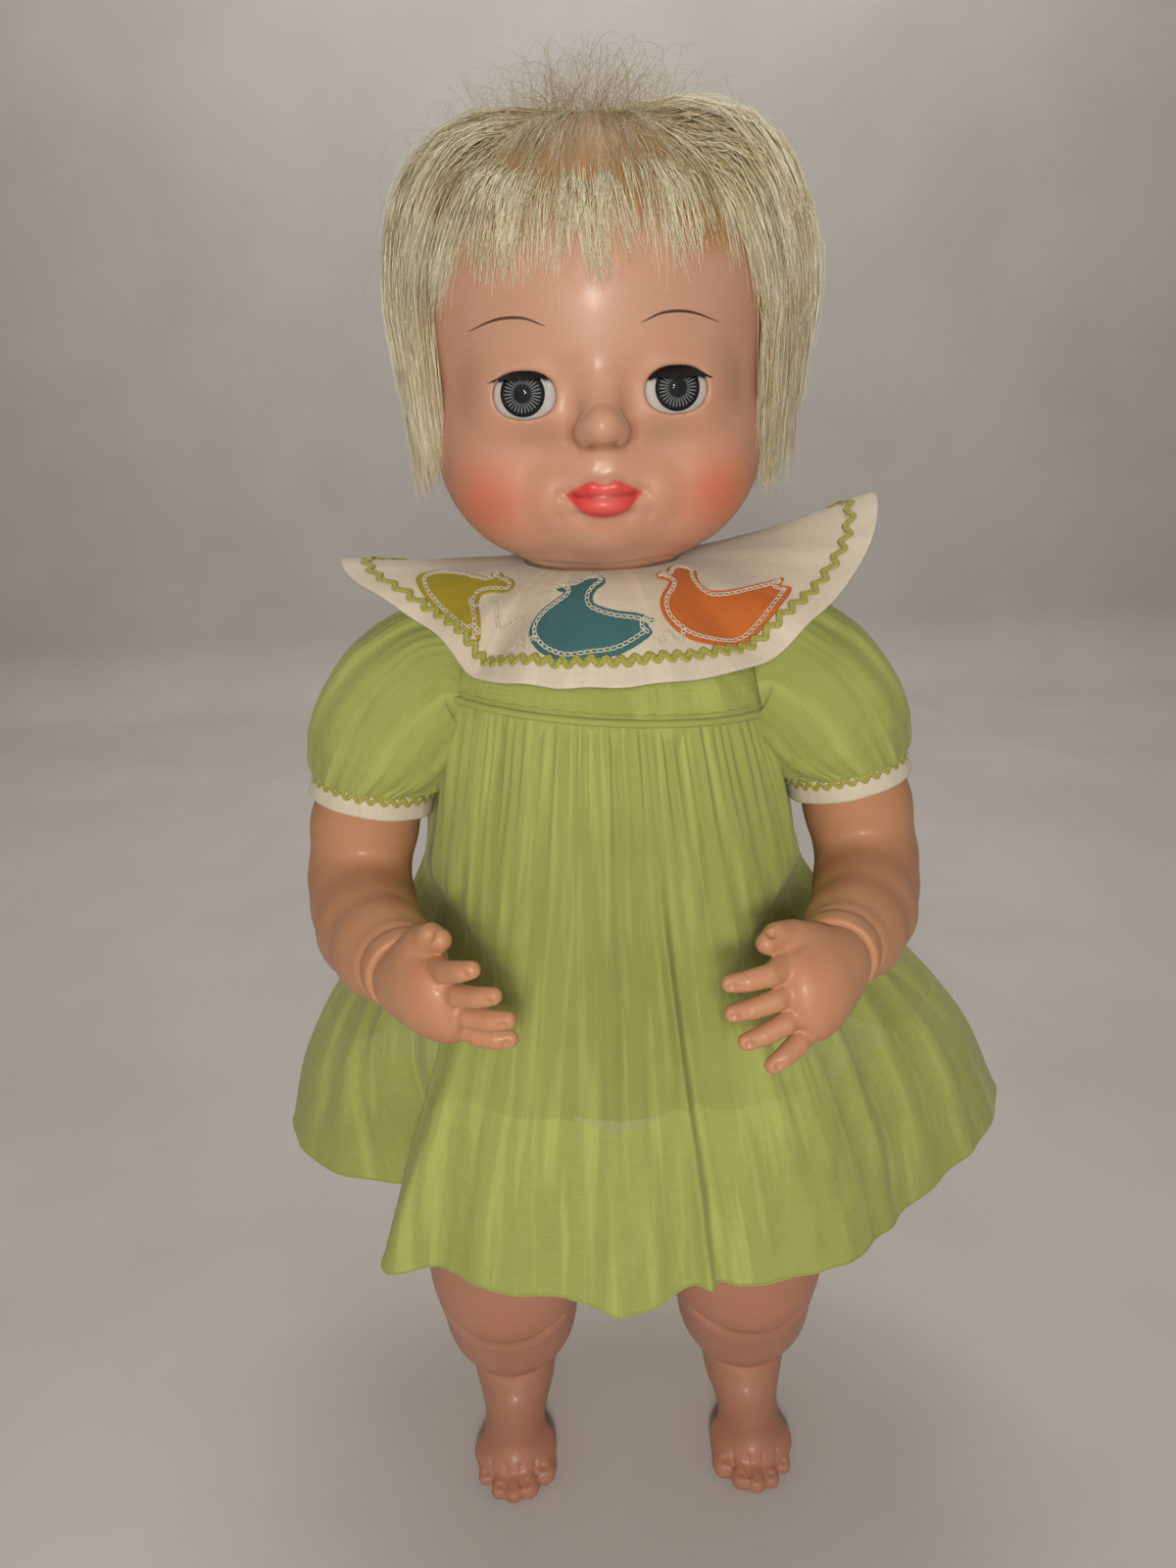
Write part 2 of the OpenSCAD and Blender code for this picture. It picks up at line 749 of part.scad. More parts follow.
module skirt() {
    difference() {
        loft(skirt_rings, 32);
        loft([for (r = grown(skirt_rings, -cloth)) [r[0], r[1], r[2] == hem_z ? r[2] - 1 : r[2], r[3], r[4], r[5]]], 32);
        block([-big, -big, waist_z - 4], [big, big, big]);
        both_sides() sleeve_room();
    }
}

module skirt_front() {
    color("#c9cc3e") intersection() {
        skirt();
        block([-big, -big, 0], [big, -0.1, big]);
    }
}

module skirt_back() {
    color("#c9cc3e") intersection() {
        skirt();
        block([-big, 0.1, 0], [big, big, big]);
    }
}

module sleeve() {
    radii = [[28, 28], [29, 29], [26, 26], [21.5, 21.5]];
    color("#c9cc3e") difference() {
        union() {
            translate(shoulder) sphere(r = 28.5, $fn = 48);
            tube(sleeve_path, radii, [1, 0, 0.4], limb_sides);
        }
        arm_form(gap);
        block([0, -big, 0], [shoulder_x + 1.5, big, big]);
    }
}

module sleeve_left() {
    sleeve();
}

module sleeve_right() {
    right_side() sleeve();
}

module cuff() {
    color("#e9dfc4") difference() {
        aim(cuff_centre + 0.6 * cuff_down, cuff_down) cylinder(r = 22.2, h = 8, $fn = 64);
        arm_form(gap);
    }
}

module cuff_left() {
    cuff();
}

module cuff_right() {
    right_side() cuff();
}

// The collar's middle surface: s runs from the neck to the edge, a goes round from the left side.
collar_w = 92;
function collar_point(s, a) = let (
    depth = 66 + 2 * abs(sin(a)),
    edge_z = 376 + 45 * pow(cos(a), 2),
    r_x = 28 + (collar_w - 28) * s,
    r_y = 28 + (depth - 28) * s,
    sag = 5 * sin(180 * s))
    [r_x * cos(a), r_y * sin(a), 403 + (edge_z - 403) * pow(s, 1.3) + sag * pow(sin(a), 2)];

module collar() {
    n = 48;
    steps = [0, 0.25, 0.5, 0.75, 1];
    m = len(steps);
    top = [for (i = [0 : n - 1]) for (s = steps) collar_point(s, 360 * i / n) + [0, 0, cloth]];
    under = [for (i = [0 : n - 1]) for (s = steps) collar_point(s, 360 * i / n)];
    function at(i, j, layer) = layer * n * m + (i % n) * m + j;
    quads = [for (i = [0 : n - 1]) each concat(
        [for (j = [0 : m - 2]) [at(i, j, 0), at(i + 1, j, 0), at(i + 1, j + 1, 0), at(i, j + 1, 0)]],
        [for (j = [0 : m - 2]) [at(i, j, 1), at(i, j + 1, 1), at(i + 1, j + 1, 1), at(i + 1, j, 1)]],
        [[at(i, m - 1, 0), at(i + 1, m - 1, 0), at(i + 1, m - 1, 1), at(i, m - 1, 1)],
         [at(i, 0, 0), at(i, 0, 1), at(i + 1, 0, 1), at(i + 1, 0, 0)]])];
    color("#ece3cb") polyhedron(concat(top, under),
        [for (q = quads) each [[q[0], q[1], q[2]], [q[0], q[2], q[3]]]], convexity = 6);
}

module collar_rickrack() {
    n = 96;
    half_w = 1.2;
    rise = cloth + 0.3;
    points = [for (i = [0 : n - 1]) let (a = 360 * i / n, s = 0.88 + (i % 2) * 0.04)
        for (c = [[-1, 0], [1, 0], [1, 1], [-1, 1]])
            collar_point(s + c[0] * half_w / 60, a) + [0, 0, rise + 0.8 * c[1]]];
    color("#a9b43a") polyhedron(points, ring_faces(n, 4), convexity = 6);
}

module bird() {
    linear_extrude(0.8) {
        translate([0, -2]) circle(r = 6.5, $fn = 48);
        translate([5.5, 5]) circle(r = 3.8, $fn = 48);
        polygon([[-5, 1], [-11, 3], [-6, -5]]);
        polygon([[8, 7], [12.5, 5], [8, 3.5]]);
        polygon([[0, 0], [6, 7], [8, 2], [5, -4]]);
    }
}

// Lays a flat piece on the collar at an angle round from the left side.
module on_collar(a, s) {
    p = collar_point(s, a);
    out = collar_point(s + 0.05, a) - p;
    around = unit(collar_point(s, a + 1) - collar_point(s, a - 1));
    up = unit(cross(out, around));
    across_it = cross(up, around);
    m = [for (row = [0 : 2]) [around[row], across_it[row], up[row], p[row] + 3.3 * up[row]]];
    multmatrix(concat(m, [[0, 0, 0, 1]])) children();
}

module applique_olive() {
    color("#9a9638") on_collar(228, 0.55) bird();
}

module applique_teal() {
    color("#2f9384") on_collar(266, 0.55) bird();
}

module applique_orange() {
    color("#e0812f") on_collar(304, 0.55) bird();
}

module back_buttons() {
    color("#e8e2cf") for (z = [366, 376]) rod_y(0, z, 3, 43.5, 45.2);
}

torso_front_shell();
torso_back_shell();
shell_screws();
mechanism_frame();
shoulder_pins();
guide_rods();
return_springs();
squeaker_bellows();
squeaker_reed();
crosshead();
body_crank();
pull_wire();
yoke_left();
yoke_right();
arm_screw_left();
arm_screw_right();
neck_flange();
head_shell();
hair();
mouth_guide();
mouth_slider();
mouth_crank();
eye_casing_left();
eye_casing_right();
eyeball_left();
eyeball_right();
iris_left();
iris_right();
eyelid_left();
eyelid_right();
lashes_left();
lashes_right();
eye_weight_left();
eye_weight_right();
arm_left();
arm_right();
hand_left();
hand_right();
leg_left();
leg_right();
bodice();
waist_piping();
skirt_front();
skirt_back();
sleeve_left();
sleeve_right();
cuff_left();
cuff_right();
collar();
collar_rickrack();
applique_olive();
applique_teal();
applique_orange();
back_buttons();
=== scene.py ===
import math

import bpy
import numpy as np
import openvdb
from mathutils import Matrix, Vector
from mathutils.bvhtree import BVHTree
from mathutils.geometry import delaunay_2d_cdt


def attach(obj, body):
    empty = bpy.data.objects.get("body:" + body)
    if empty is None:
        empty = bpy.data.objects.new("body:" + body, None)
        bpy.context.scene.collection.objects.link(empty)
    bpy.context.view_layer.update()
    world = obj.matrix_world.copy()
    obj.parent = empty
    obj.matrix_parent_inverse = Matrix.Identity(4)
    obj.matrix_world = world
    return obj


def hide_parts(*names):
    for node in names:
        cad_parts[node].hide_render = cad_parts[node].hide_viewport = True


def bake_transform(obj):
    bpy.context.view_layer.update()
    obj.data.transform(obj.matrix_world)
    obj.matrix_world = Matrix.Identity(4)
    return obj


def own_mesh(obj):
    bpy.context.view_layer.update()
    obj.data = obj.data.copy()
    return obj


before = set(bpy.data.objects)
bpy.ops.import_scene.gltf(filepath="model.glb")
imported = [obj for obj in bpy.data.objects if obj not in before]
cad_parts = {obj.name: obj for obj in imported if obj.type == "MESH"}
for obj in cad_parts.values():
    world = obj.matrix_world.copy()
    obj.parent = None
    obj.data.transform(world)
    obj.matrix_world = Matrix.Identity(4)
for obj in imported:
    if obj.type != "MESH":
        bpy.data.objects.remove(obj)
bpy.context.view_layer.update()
MM = 0.001
rng = np.random.default_rng(1963)

# ---- camera ---------------------------------------------------------------------------------

PITCH = math.radians(20.0)
ROLL = math.radians(2.3)
camera_data = bpy.data.cameras.new("camera")
camera_data.sensor_fit = "VERTICAL"
camera_data.sensor_height = 36.0
camera_data.lens = 27.0
camera = bpy.data.objects.new("camera", camera_data)
bpy.context.scene.collection.objects.link(camera)
camera.matrix_world = (Matrix.Translation((-0.0085, -0.43, 0.4765))
                       @ Matrix.Rotation(math.pi / 2 - PITCH, 4, "X") @ Matrix.Rotation(-ROLL, 4, "Z"))
bpy.context.scene.camera = camera


# ---- small helpers ----------------------------------------------------------------------------

def vec(*values):
    return np.array(values, float)


def unit(v):
    v = np.asarray(v, float)
    return v / np.maximum(np.linalg.norm(v, axis=-1, keepdims=True), 1e-9)


def smooth(t):
    t = np.clip(t, 0, 1)
    return t * t * (3 - 2 * t)


def between(x, low, high):
    """0 below low, 1 above high, smooth in between."""
    return smooth((np.asarray(x, float) - low) / (high - low))


def curve(x, xs, ys):
    """A smooth curve through the points (xs, ys), with xs rising."""
    xs, ys, x = np.asarray(xs, float), np.asarray(ys, float), np.asarray(x, float)
    slope = np.gradient(ys, xs, axis=0)
    i = np.clip(np.searchsorted(xs, x) - 1, 0, len(xs) - 2)
    h = xs[i + 1] - xs[i]
    t = np.clip((x - xs[i]) / h, 0, 1)
    if ys.ndim > 1:
        h, t = h[..., None], t[..., None]
    return ((1 + 2 * t) * (1 - t) ** 2 * ys[i] + t * (1 - t) ** 2 * h * slope[i]
            + t * t * (3 - 2 * t) * ys[i + 1] + t * t * (t - 1) * h * slope[i + 1])


def make_mesh(name, points, faces):
    """A mesh of points in mm and faces that all have the same number of corners."""
    points, faces = np.asarray(points, float), np.asarray(faces, np.int32)
    mesh = bpy.data.meshes.new(name)
    corners = faces.shape[1]
    mesh.vertices.add(len(points))
    mesh.vertices.foreach_set("co", (points * MM).astype(np.float32).ravel())
    mesh.loops.add(faces.size)
    mesh.loops.foreach_set("vertex_index", faces.ravel())
    mesh.polygons.add(len(faces))
    mesh.polygons.foreach_set("loop_start", np.arange(0, faces.size, corners, dtype=np.int32))
    mesh.polygons.foreach_set("loop_total", np.full(len(faces), corners, np.int32))
    mesh.polygons.foreach_set("use_smooth", np.ones(len(faces), bool))
    mesh.update(calc_edges=True)
    mesh.validate()
    return mesh


def put(mesh, name, values):
    """Stores values on the mesh's points: numbers, vectors or linear colours."""
    values = np.asarray(values, np.float32)
    if values.ndim == 1:
        mesh.attributes.new(name, "FLOAT", "POINT").data.foreach_set("value", values)
    else:
        mesh.attributes.new(name, "FLOAT_VECTOR", "POINT").data.foreach_set("vector", values.ravel())


def piece(name, points, faces, material, body=None, replaces=(), slot=None, **attributes):
    """A finished piece. Its points' places at rest are kept, so that its material moves with it."""
    mesh = make_mesh(name, points, faces)
    put(mesh, "rest", points)
    for key, values in attributes.items():
        put(mesh, key, values)
    mesh.materials.append(material)
    thing = bpy.data.objects.new(name, mesh)
    bpy.context.scene.collection.objects.link(thing)
    if body:
        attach(thing, body)
    if replaces:
        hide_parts(*replaces)
    return thing


def grid_faces(rows, columns, closed=False):
    """Faces of a grid of points; closed joins the last row to the first."""
    i = np.arange(rows * columns).reshape(rows, columns)
    if closed:
        i = np.vstack([i, i[:1]])
    return np.stack([i[:-1, :-1], i[1:, :-1], i[1:, 1:], i[:-1, 1:]], -1).reshape(-1, 4)


def merge(parts):
    """Joins (points, faces) pairs."""
    points, faces, n = [], [], 0
    for p, f in parts:
        points.append(p)
        faces.append(f + n)
        n += len(p)
    return np.vstack(points), np.vstack(faces)


def tubes(paths, radii, sides=3, flat=1.0, up=(0, 0, 1), closed=False):
    """Many tubes at once: paths is (count, steps, 3) in mm, radii fits (count, steps)."""
    paths = np.asarray(paths, float)
    n, k = paths.shape[:2]
    if closed:
        t = np.roll(paths, -1, axis=1) - np.roll(paths, 1, axis=1)
    else:
        t = np.gradient(paths, axis=1)
    t = unit(t)
    up = np.broadcast_to(np.asarray(up, float), paths.shape)
    u = unit(np.cross(up, t))
    v = np.cross(t, u)
    radii = np.broadcast_to(np.asarray(radii, float), (n, k))[..., None]
    a = 2 * math.pi * np.arange(sides) / sides
    rings = np.stack([paths + radii * (math.cos(x) * u + flat * math.sin(x) * v) for x in a], 2)
    i = np.arange(n * k * sides).reshape(n, k, sides)
    if closed:
        i = np.concatenate([i, i[:, :1]], 1)
    j = np.concatenate([i, i[:, :, :1]], 2)
    faces = np.stack([j[:, :-1, :-1], j[:, :-1, 1:], j[:, 1:, 1:], j[:, 1:, :-1]], -1).reshape(-1, 4)
    return rings.reshape(-1, 3), faces


# ---- clay: smooth solids from distance fields, in mm --------------------------------------

def join(a, b, k):
    h = np.maximum(k - np.abs(a - b), 0)
    return np.minimum(a, b) - h * h * (0.25 / k)


def egg(x, y, z, centre, radii):
    p = [(x - centre[0]) / radii[0], (y - centre[1]) / radii[1], (z - centre[2]) / radii[2]]
    k0 = np.sqrt(p[0] ** 2 + p[1] ** 2 + p[2] ** 2)
    k1 = np.sqrt((p[0] / radii[0]) ** 2 + (p[1] / radii[1]) ** 2 + (p[2] / radii[2]) ** 2)
    return k0 * (k0 - 1) / np.maximum(k1, 1e-6)


def limb(x, y, z, points, radii, soft=0.0):
    """A rounded chain through the points. soft fills the creases at its bends."""
    best = None
    for (a, b), (ra, rb) in zip(zip(points[:-1], points[1:]), zip(radii[:-1], radii[1:])):
        a, b = np.asarray(a, float), np.asarray(b, float)
        d = b - a
        t = np.clip(((x - a[0]) * d[0] + (y - a[1]) * d[1] + (z - a[2]) * d[2]) / (d @ d), 0, 1)
        r = np.sqrt((x - a[0] - t * d[0]) ** 2 + (y - a[1] - t * d[1]) ** 2 + (z - a[2] - t * d[2]) ** 2)
        r = r - (ra + t * (rb - ra))
        best = r if best is None else join(best, r, soft) if soft else np.minimum(best, r)
    return best


class Clay:
    """A block of clay: solids are added to it and cut from it, with a soft edge of k mm."""

    def __init__(self, low, high, voxel):
        self.low, self.voxel = np.asarray(low, float), voxel
        count = ((np.asarray(high, float) - self.low) / voxel).astype(int) + 1
        self.axes = [(self.low[i] + voxel * np.arange(count[i])).astype(np.float32) for i in range(3)]
        self.d = np.full(count, 60.0, np.float32)

    def part(self, low, high):
        cut = tuple(slice(max(0, int((low[i] - self.low[i]) / self.voxel)),
                          max(0, int((high[i] - self.low[i]) / self.voxel) + 2)) for i in range(3))
        return cut, self.axes[0][cut[0]][:, None, None], self.axes[1][cut[1]][None, :, None], \
            self.axes[2][cut[2]][None, None, :]

    def apply(self, low, high, shape, k, cut):
        where, x, y, z = self.part(low, high)
        if not self.d[where].size:
            return
        field = shape(x, y, z)
        if cut:
            self.d[where] = -join(-self.d[where], field, k)
        else:
            self.d[where] = join(self.d[where], field, k)

    def ball(self, centre, radii, k=4.0, cut=False):
        radii = np.broadcast_to(np.asarray(radii, float), 3)
        centre = np.asarray(centre, float)
        reach = radii + k + 6
        self.apply(centre - reach, centre + reach, lambda x, y, z: egg(x, y, z, centre, radii), k, cut)

    def chain(self, points, radii, k=4.0, cut=False, soft=0.0):
        points = np.asarray(points, float)
        radii = np.broadcast_to(np.asarray(radii, float), len(points))
        reach = radii.max() + k + 6
        self.apply(points.min(0) - reach, points.max(0) + reach,
                   lambda x, y, z: limb(x, y, z, points, radii, soft), k, cut)

    def mesh(self, mirrored=False):
        """Points and faces of the surface. mirrored doubles a half that starts at x = 0."""
        d, low = self.d, self.low.copy()
        if mirrored:
            d = np.concatenate([d[:0:-1], d], 0)
            low[0] = -self.axes[0][-1]
        grid = openvdb.FloatGrid(3 * self.voxel)
        grid.copyFromArray(np.ascontiguousarray(np.clip(d, -3 * self.voxel, 3 * self.voxel)))
        grid.transform = openvdb.createLinearTransform(self.voxel)
        points, faces = grid.convertToQuads(0.0)
        points, faces = np.asarray(points, float) + low, np.asarray(faces, np.int32)
        a, b, c = points[faces[:, 0]], points[faces[:, 1]], points[faces[:, 2]]
        if (np.einsum("ij,ij->i", a - low, np.cross(b - low, c - low))).sum() < 0:
            faces = faces[:, ::-1]
        return points, np.ascontiguousarray(faces)


def relax(points, faces, rounds=2, amount=0.5):
    """Evens out a mesh's points."""
    edges = np.vstack([faces[:, [0, 1]], faces[:, [1, 2]], faces[:, [2, 3]], faces[:, [3, 0]]])
    count = np.bincount(edges.ravel(), minlength=len(points)).astype(float)[:, None]
    for _ in range(rounds):
        for sign in (amount, -amount * 1.04):
            total = np.zeros_like(points)
            for axis in range(3):
                total[:, axis] = (np.bincount(edges[:, 0], points[edges[:, 1], axis], len(points))
                                  + np.bincount(edges[:, 1], points[edges[:, 0], axis], len(points)))
            points = points + sign * (total / np.maximum(count, 1) - points)
    return points


# ---- materials -----------------------------------------------------------------------------

class Paint:
    """A procedural material round one Principled shader."""

    def __init__(self, name, coords="rest", **sockets):
        self.material = bpy.data.materials.new(name)
        self.material.use_nodes = True
        self.tree = self.material.node_tree
        self.shader = self.tree.nodes["Principled BSDF"]
        for key, value in sockets.items():
            self.shader.inputs[key.replace("_", " ")].default_value = value
        if coords == "rest":
            self.place = self.attribute("rest", "Vector")
        else:
            scaled = self.node("ShaderNodeVectorMath", operation="SCALE")
            self.link(self.node("ShaderNodeTexCoord").outputs["Object"], scaled.inputs[0])
            scaled.inputs["Scale"].default_value = 1000.0
            self.place = scaled.outputs[0]

    def node(self, kind, **settings):
        n = self.tree.nodes.new(kind)
        for key, value in settings.items():
            setattr(n, key, value)
        return n

    def link(self, source, target):
        if isinstance(source, bpy.types.NodeSocket):
            self.tree.links.new(source, target)
        else:
            target.default_value = source

    def attribute(self, name, output="Fac"):
        return self.node("ShaderNodeAttribute", attribute_name=name).outputs[output]

    def noise(self, scale, detail=2.0, vector=None, distortion=0.0, roughness=0.5):
        """Noise with features of about 1 / scale mm."""
        n = self.node("ShaderNodeTexNoise")
        self.link(self.place if vector is None else vector, n.inputs["Vector"])
        for key, value in (("Scale", scale), ("Detail", detail), ("Distortion", distortion),
                           ("Roughness", roughness)):
            n.inputs[key].default_value = value
        return n.outputs["Fac"]

    def stretch(self, vector, by):
        n = self.node("ShaderNodeVectorMath", operation="MULTIPLY")
        self.link(vector, n.inputs[0])
        n.inputs[1].default_value = by
        return n.outputs[0]

    def split(self, vector):
        n = self.node("ShaderNodeSeparateXYZ")
        self.link(vector, n.inputs[0])
        return n.outputs[0], n.outputs[1], n.outputs[2]

    def math(self, operation, a, b=0.0, c=0.0, clamp=False):
        n = self.node("ShaderNodeMath", operation=operation, use_clamp=clamp)
        for socket, value in zip(n.inputs, (a, b, c)):
            self.link(value, socket)
        return n.outputs[0]

    def band(self, value, low, high, start=0.0, end=1.0):
        """value from low..high as start..end, held at both ends."""
        n = self.node("ShaderNodeMapRange")
        self.link(value, n.inputs["Value"])
        for key, v in (("From Min", low), ("From Max", high), ("To Min", start), ("To Max", end)):
            n.inputs[key].default_value = v
        return n.outputs[0]

    def mix(self, share, a, b, mode="MIX"):
        n = self.node("ShaderNodeMix", data_type="RGBA", blend_type=mode)
        self.link(share, n.inputs["Factor"])
        for socket, value in ((n.inputs[6], a), (n.inputs[7], b)):
            self.link((*value, 1.0) if isinstance(value, tuple) else value, socket)
        return n.outputs[2]

    def bump(self, height, strength=0.3, distance=0.3, normal=None):
        """distance is in mm."""
        n = self.node("ShaderNodeBump")
        self.link(height, n.inputs["Height"])
        n.inputs["Strength"].default_value = strength
        n.inputs["Distance"].default_value = distance * MM
        if normal is not None:
            self.link(normal, n.inputs["Normal"])
        return n.outputs["Normal"]

    def set(self, **links):
        for key, value in links.items():
            self.link(value, self.shader.inputs[key.replace("_", " ")])
        return self.material


def vinyl(name, base, shade, coords="rest"):
    """Soft moulded vinyl: mottled colour, fine tooth, a soft greasy shine."""
    p = Paint(name, coords, Roughness=0.5, IOR=1.45, Subsurface_Weight=0.18, Subsurface_Scale=0.004,
              Coat_Weight=0.10, Coat_Roughness=0.20)
    p.shader.inputs["Subsurface Radius"].default_value = (1.0, 0.45, 0.25)
    if base is None:
        base = p.attribute("tint", "Color")
    mottled = p.mix(p.band(p.noise(0.05, 3), 0.38, 0.66), base, p.mix(0.16, base, shade))
    speckled = p.mix(p.band(p.noise(0.9, 3), 0.52, 0.72, 0, 0.10), mottled, shade)
    tooth = p.math("ADD", p.noise(2.4, 2), p.math("MULTIPLY", p.noise(0.35, 2), 0.9))
    return p.set(Base_Color=speckled, Roughness=p.band(p.noise(0.12, 4), 0.35, 0.7, 0.46, 0.60),
                 Normal=p.bump(tooth, 0.10, 0.10))


def moulded(name, base, roughness=0.45, coords="object", metallic=0.0):
    """Moulded plastic with flow marks and a fine grain."""
    p = Paint(name, coords, Roughness=roughness, Metallic=metallic)
    dark = tuple(c * 0.72 for c in base)
    light = tuple(min(1, c * 1.12) for c in base)
    tone = p.mix(p.band(p.noise(0.09, 4, distortion=0.6), 0.35, 0.7), dark, light)
    tone = p.mix(p.band(p.noise(1.6, 2), 0.6, 0.75, 0, 0.3), tone, dark)
    return p.set(Base_Color=tone, Roughness=p.band(p.noise(0.3, 3), 0.3, 0.7, roughness - 0.08,
                                                   roughness + 0.12),
                 Normal=p.bump(p.noise(1.8, 3), 0.14, 0.12))


def drawn_metal(name, base, roughness=0.3, streak=(1, 1, 0.05)):
    """Metal with drawing lines, dulled in patches."""
    p = Paint(name, "object", Metallic=1.0, Roughness=roughness)
    lines = p.noise(3.0, 4, p.stretch(p.place, streak))
    dull = p.band(p.noise(0.12, 4), 0.45, 0.7)
    tone = p.mix(dull, base, tuple(c * 0.62 for c in base))
    rough = p.math("ADD", p.band(lines, 0.3, 0.7, roughness - 0.06, roughness + 0.10),
                   p.math("MULTIPLY", dull, 0.18))
    return p.set(Base_Color=tone, Roughness=rough, Normal=p.bump(lines, 0.12, 0.08))


def cloth(name, base, dark, pitch=0.62, alpha=1.0, sheen=0.12, slub=1.0, crease=0.5):
    """Plain weave. The piece's threads run along its own thread coordinates, in mm."""
    p = Paint(name, "rest", Roughness=0.82, Sheen_Weight=sheen, Sheen_Roughness=0.45, IOR=1.35)
    thread = p.attribute("thread", "Vector")
    u, v, _ = p.split(thread)
    turn = 2 * math.pi / pitch
    warp = p.math("SINE", p.math("MULTIPLY", u, turn))
    weft = p.math("SINE", p.math("MULTIPLY", v, turn))
    weave = p.math("MULTIPLY", warp, weft)
    slubs = p.math("ADD", p.noise(1.0, 3, p.stretch(thread, (1.7, 0.05, 1))),
                   p.noise(1.0, 3, p.stretch(thread, (0.05, 1.5, 1))))
    streaks = p.band(slubs, 0.8, 1.25)
    tone = p.mix(p.math("MULTIPLY", streaks, 0.55 * slub), base, dark)
    tone = p.mix(p.band(weave, -0.2, 1.0, 0.0, 0.26), tone, dark)
    tone = p.mix(p.band(p.noise(0.035, 3), 0.42, 0.7, 0, 0.30), tone, dark)
    runs = p.noise(1.0, 4, p.stretch(thread, (0.10, 0.012, 1)))
    tone = p.mix(p.band(runs, 0.50, 0.62, 0, 0.35 * slub), tone, tuple(min(1.0, 1.45 * c) for c in base))
    height = p.math("ADD", p.math("MULTIPLY", weave, 0.5), p.math("MULTIPLY", slubs, 0.5 * slub))
    normal = p.bump(p.noise(0.11, 4, distortion=0.8), crease, 1.1)
    links = dict(Base_Color=tone, Normal=p.bump(height, 0.34, 0.16, normal))
    if alpha < 1:
        gaps = p.math("ADD", p.band(weave, -0.6, 0.9, alpha + 0.06, alpha - 0.07),
                      p.band(slubs, 0.8, 1.2, -0.04, 0.05), clamp=True)
        links["Alpha"] = p.math("MINIMUM", 1.0, p.math("ADD", gaps, p.attribute("dense")))
    return p.set(**links)


def yarn(name, base, dark, twist=1.2, shine=0.3):
    """Twisted thread or braid."""
    p = Paint(name, "rest", Roughness=0.62, Sheen_Weight=shine, Sheen_Roughness=0.3)
    fibres = p.noise(twist, 3, distortion=1.4)
    tone = p.mix(p.band(fibres, 0.36, 0.62), dark, base)
    return p.set(Base_Color=tone, Normal=p.bump(fibres, 0.4, 0.2))


SKIN = (0.575, 0.318, 0.210)
SKIN_SHADE = (0.480, 0.215, 0.125)
LIMB = (0.560, 0.270, 0.140)
LEG = (0.520, 0.250, 0.165)
LIME = (0.420, 0.455, 0.125)
LIME_DARK = (0.300, 0.335, 0.080)
CREAM = (0.720, 0.640, 0.500)
CREAM_DARK = (0.560, 0.470, 0.340)
CHARTREUSE = (0.470, 0.460, 0.085)
CHARTREUSE_DARK = (0.280, 0.270, 0.040)

head_vinyl = vinyl("head_vinyl", None, SKIN_SHADE)
arm_vinyl = vinyl("arm_vinyl", None, (0.42, 0.19, 0.085))
leg_vinyl = vinyl("leg_vinyl", None, (0.37, 0.15, 0.09))
batiste = cloth("lime_batiste", LIME, LIME_DARK, alpha=0.91)
batiste_lined = cloth("lime_batiste_lined", LIME, LIME_DARK)
cotton = cloth("cream_cotton", CREAM, CREAM_DARK, pitch=0.55, slub=0.6, crease=0.35)


# ---- head ------------------------------------------------------------------------------------

EYE = vec(23, -43, 466)
EYE_R = 13.0
OPEN_W, OPEN_H = 9.5, 6.9
MOUTH_Z = 436.2


def ellipse_tube(x, z, centre, half_w, half_h, power=2.25):
    """Distance from an eye-shaped prism that runs along Y."""
    u, v = np.abs(x - centre[0]) / half_w, np.abs(z - centre[2]) / half_h
    return ((u ** power + v ** power) ** (1 / power) - 1) * half_h


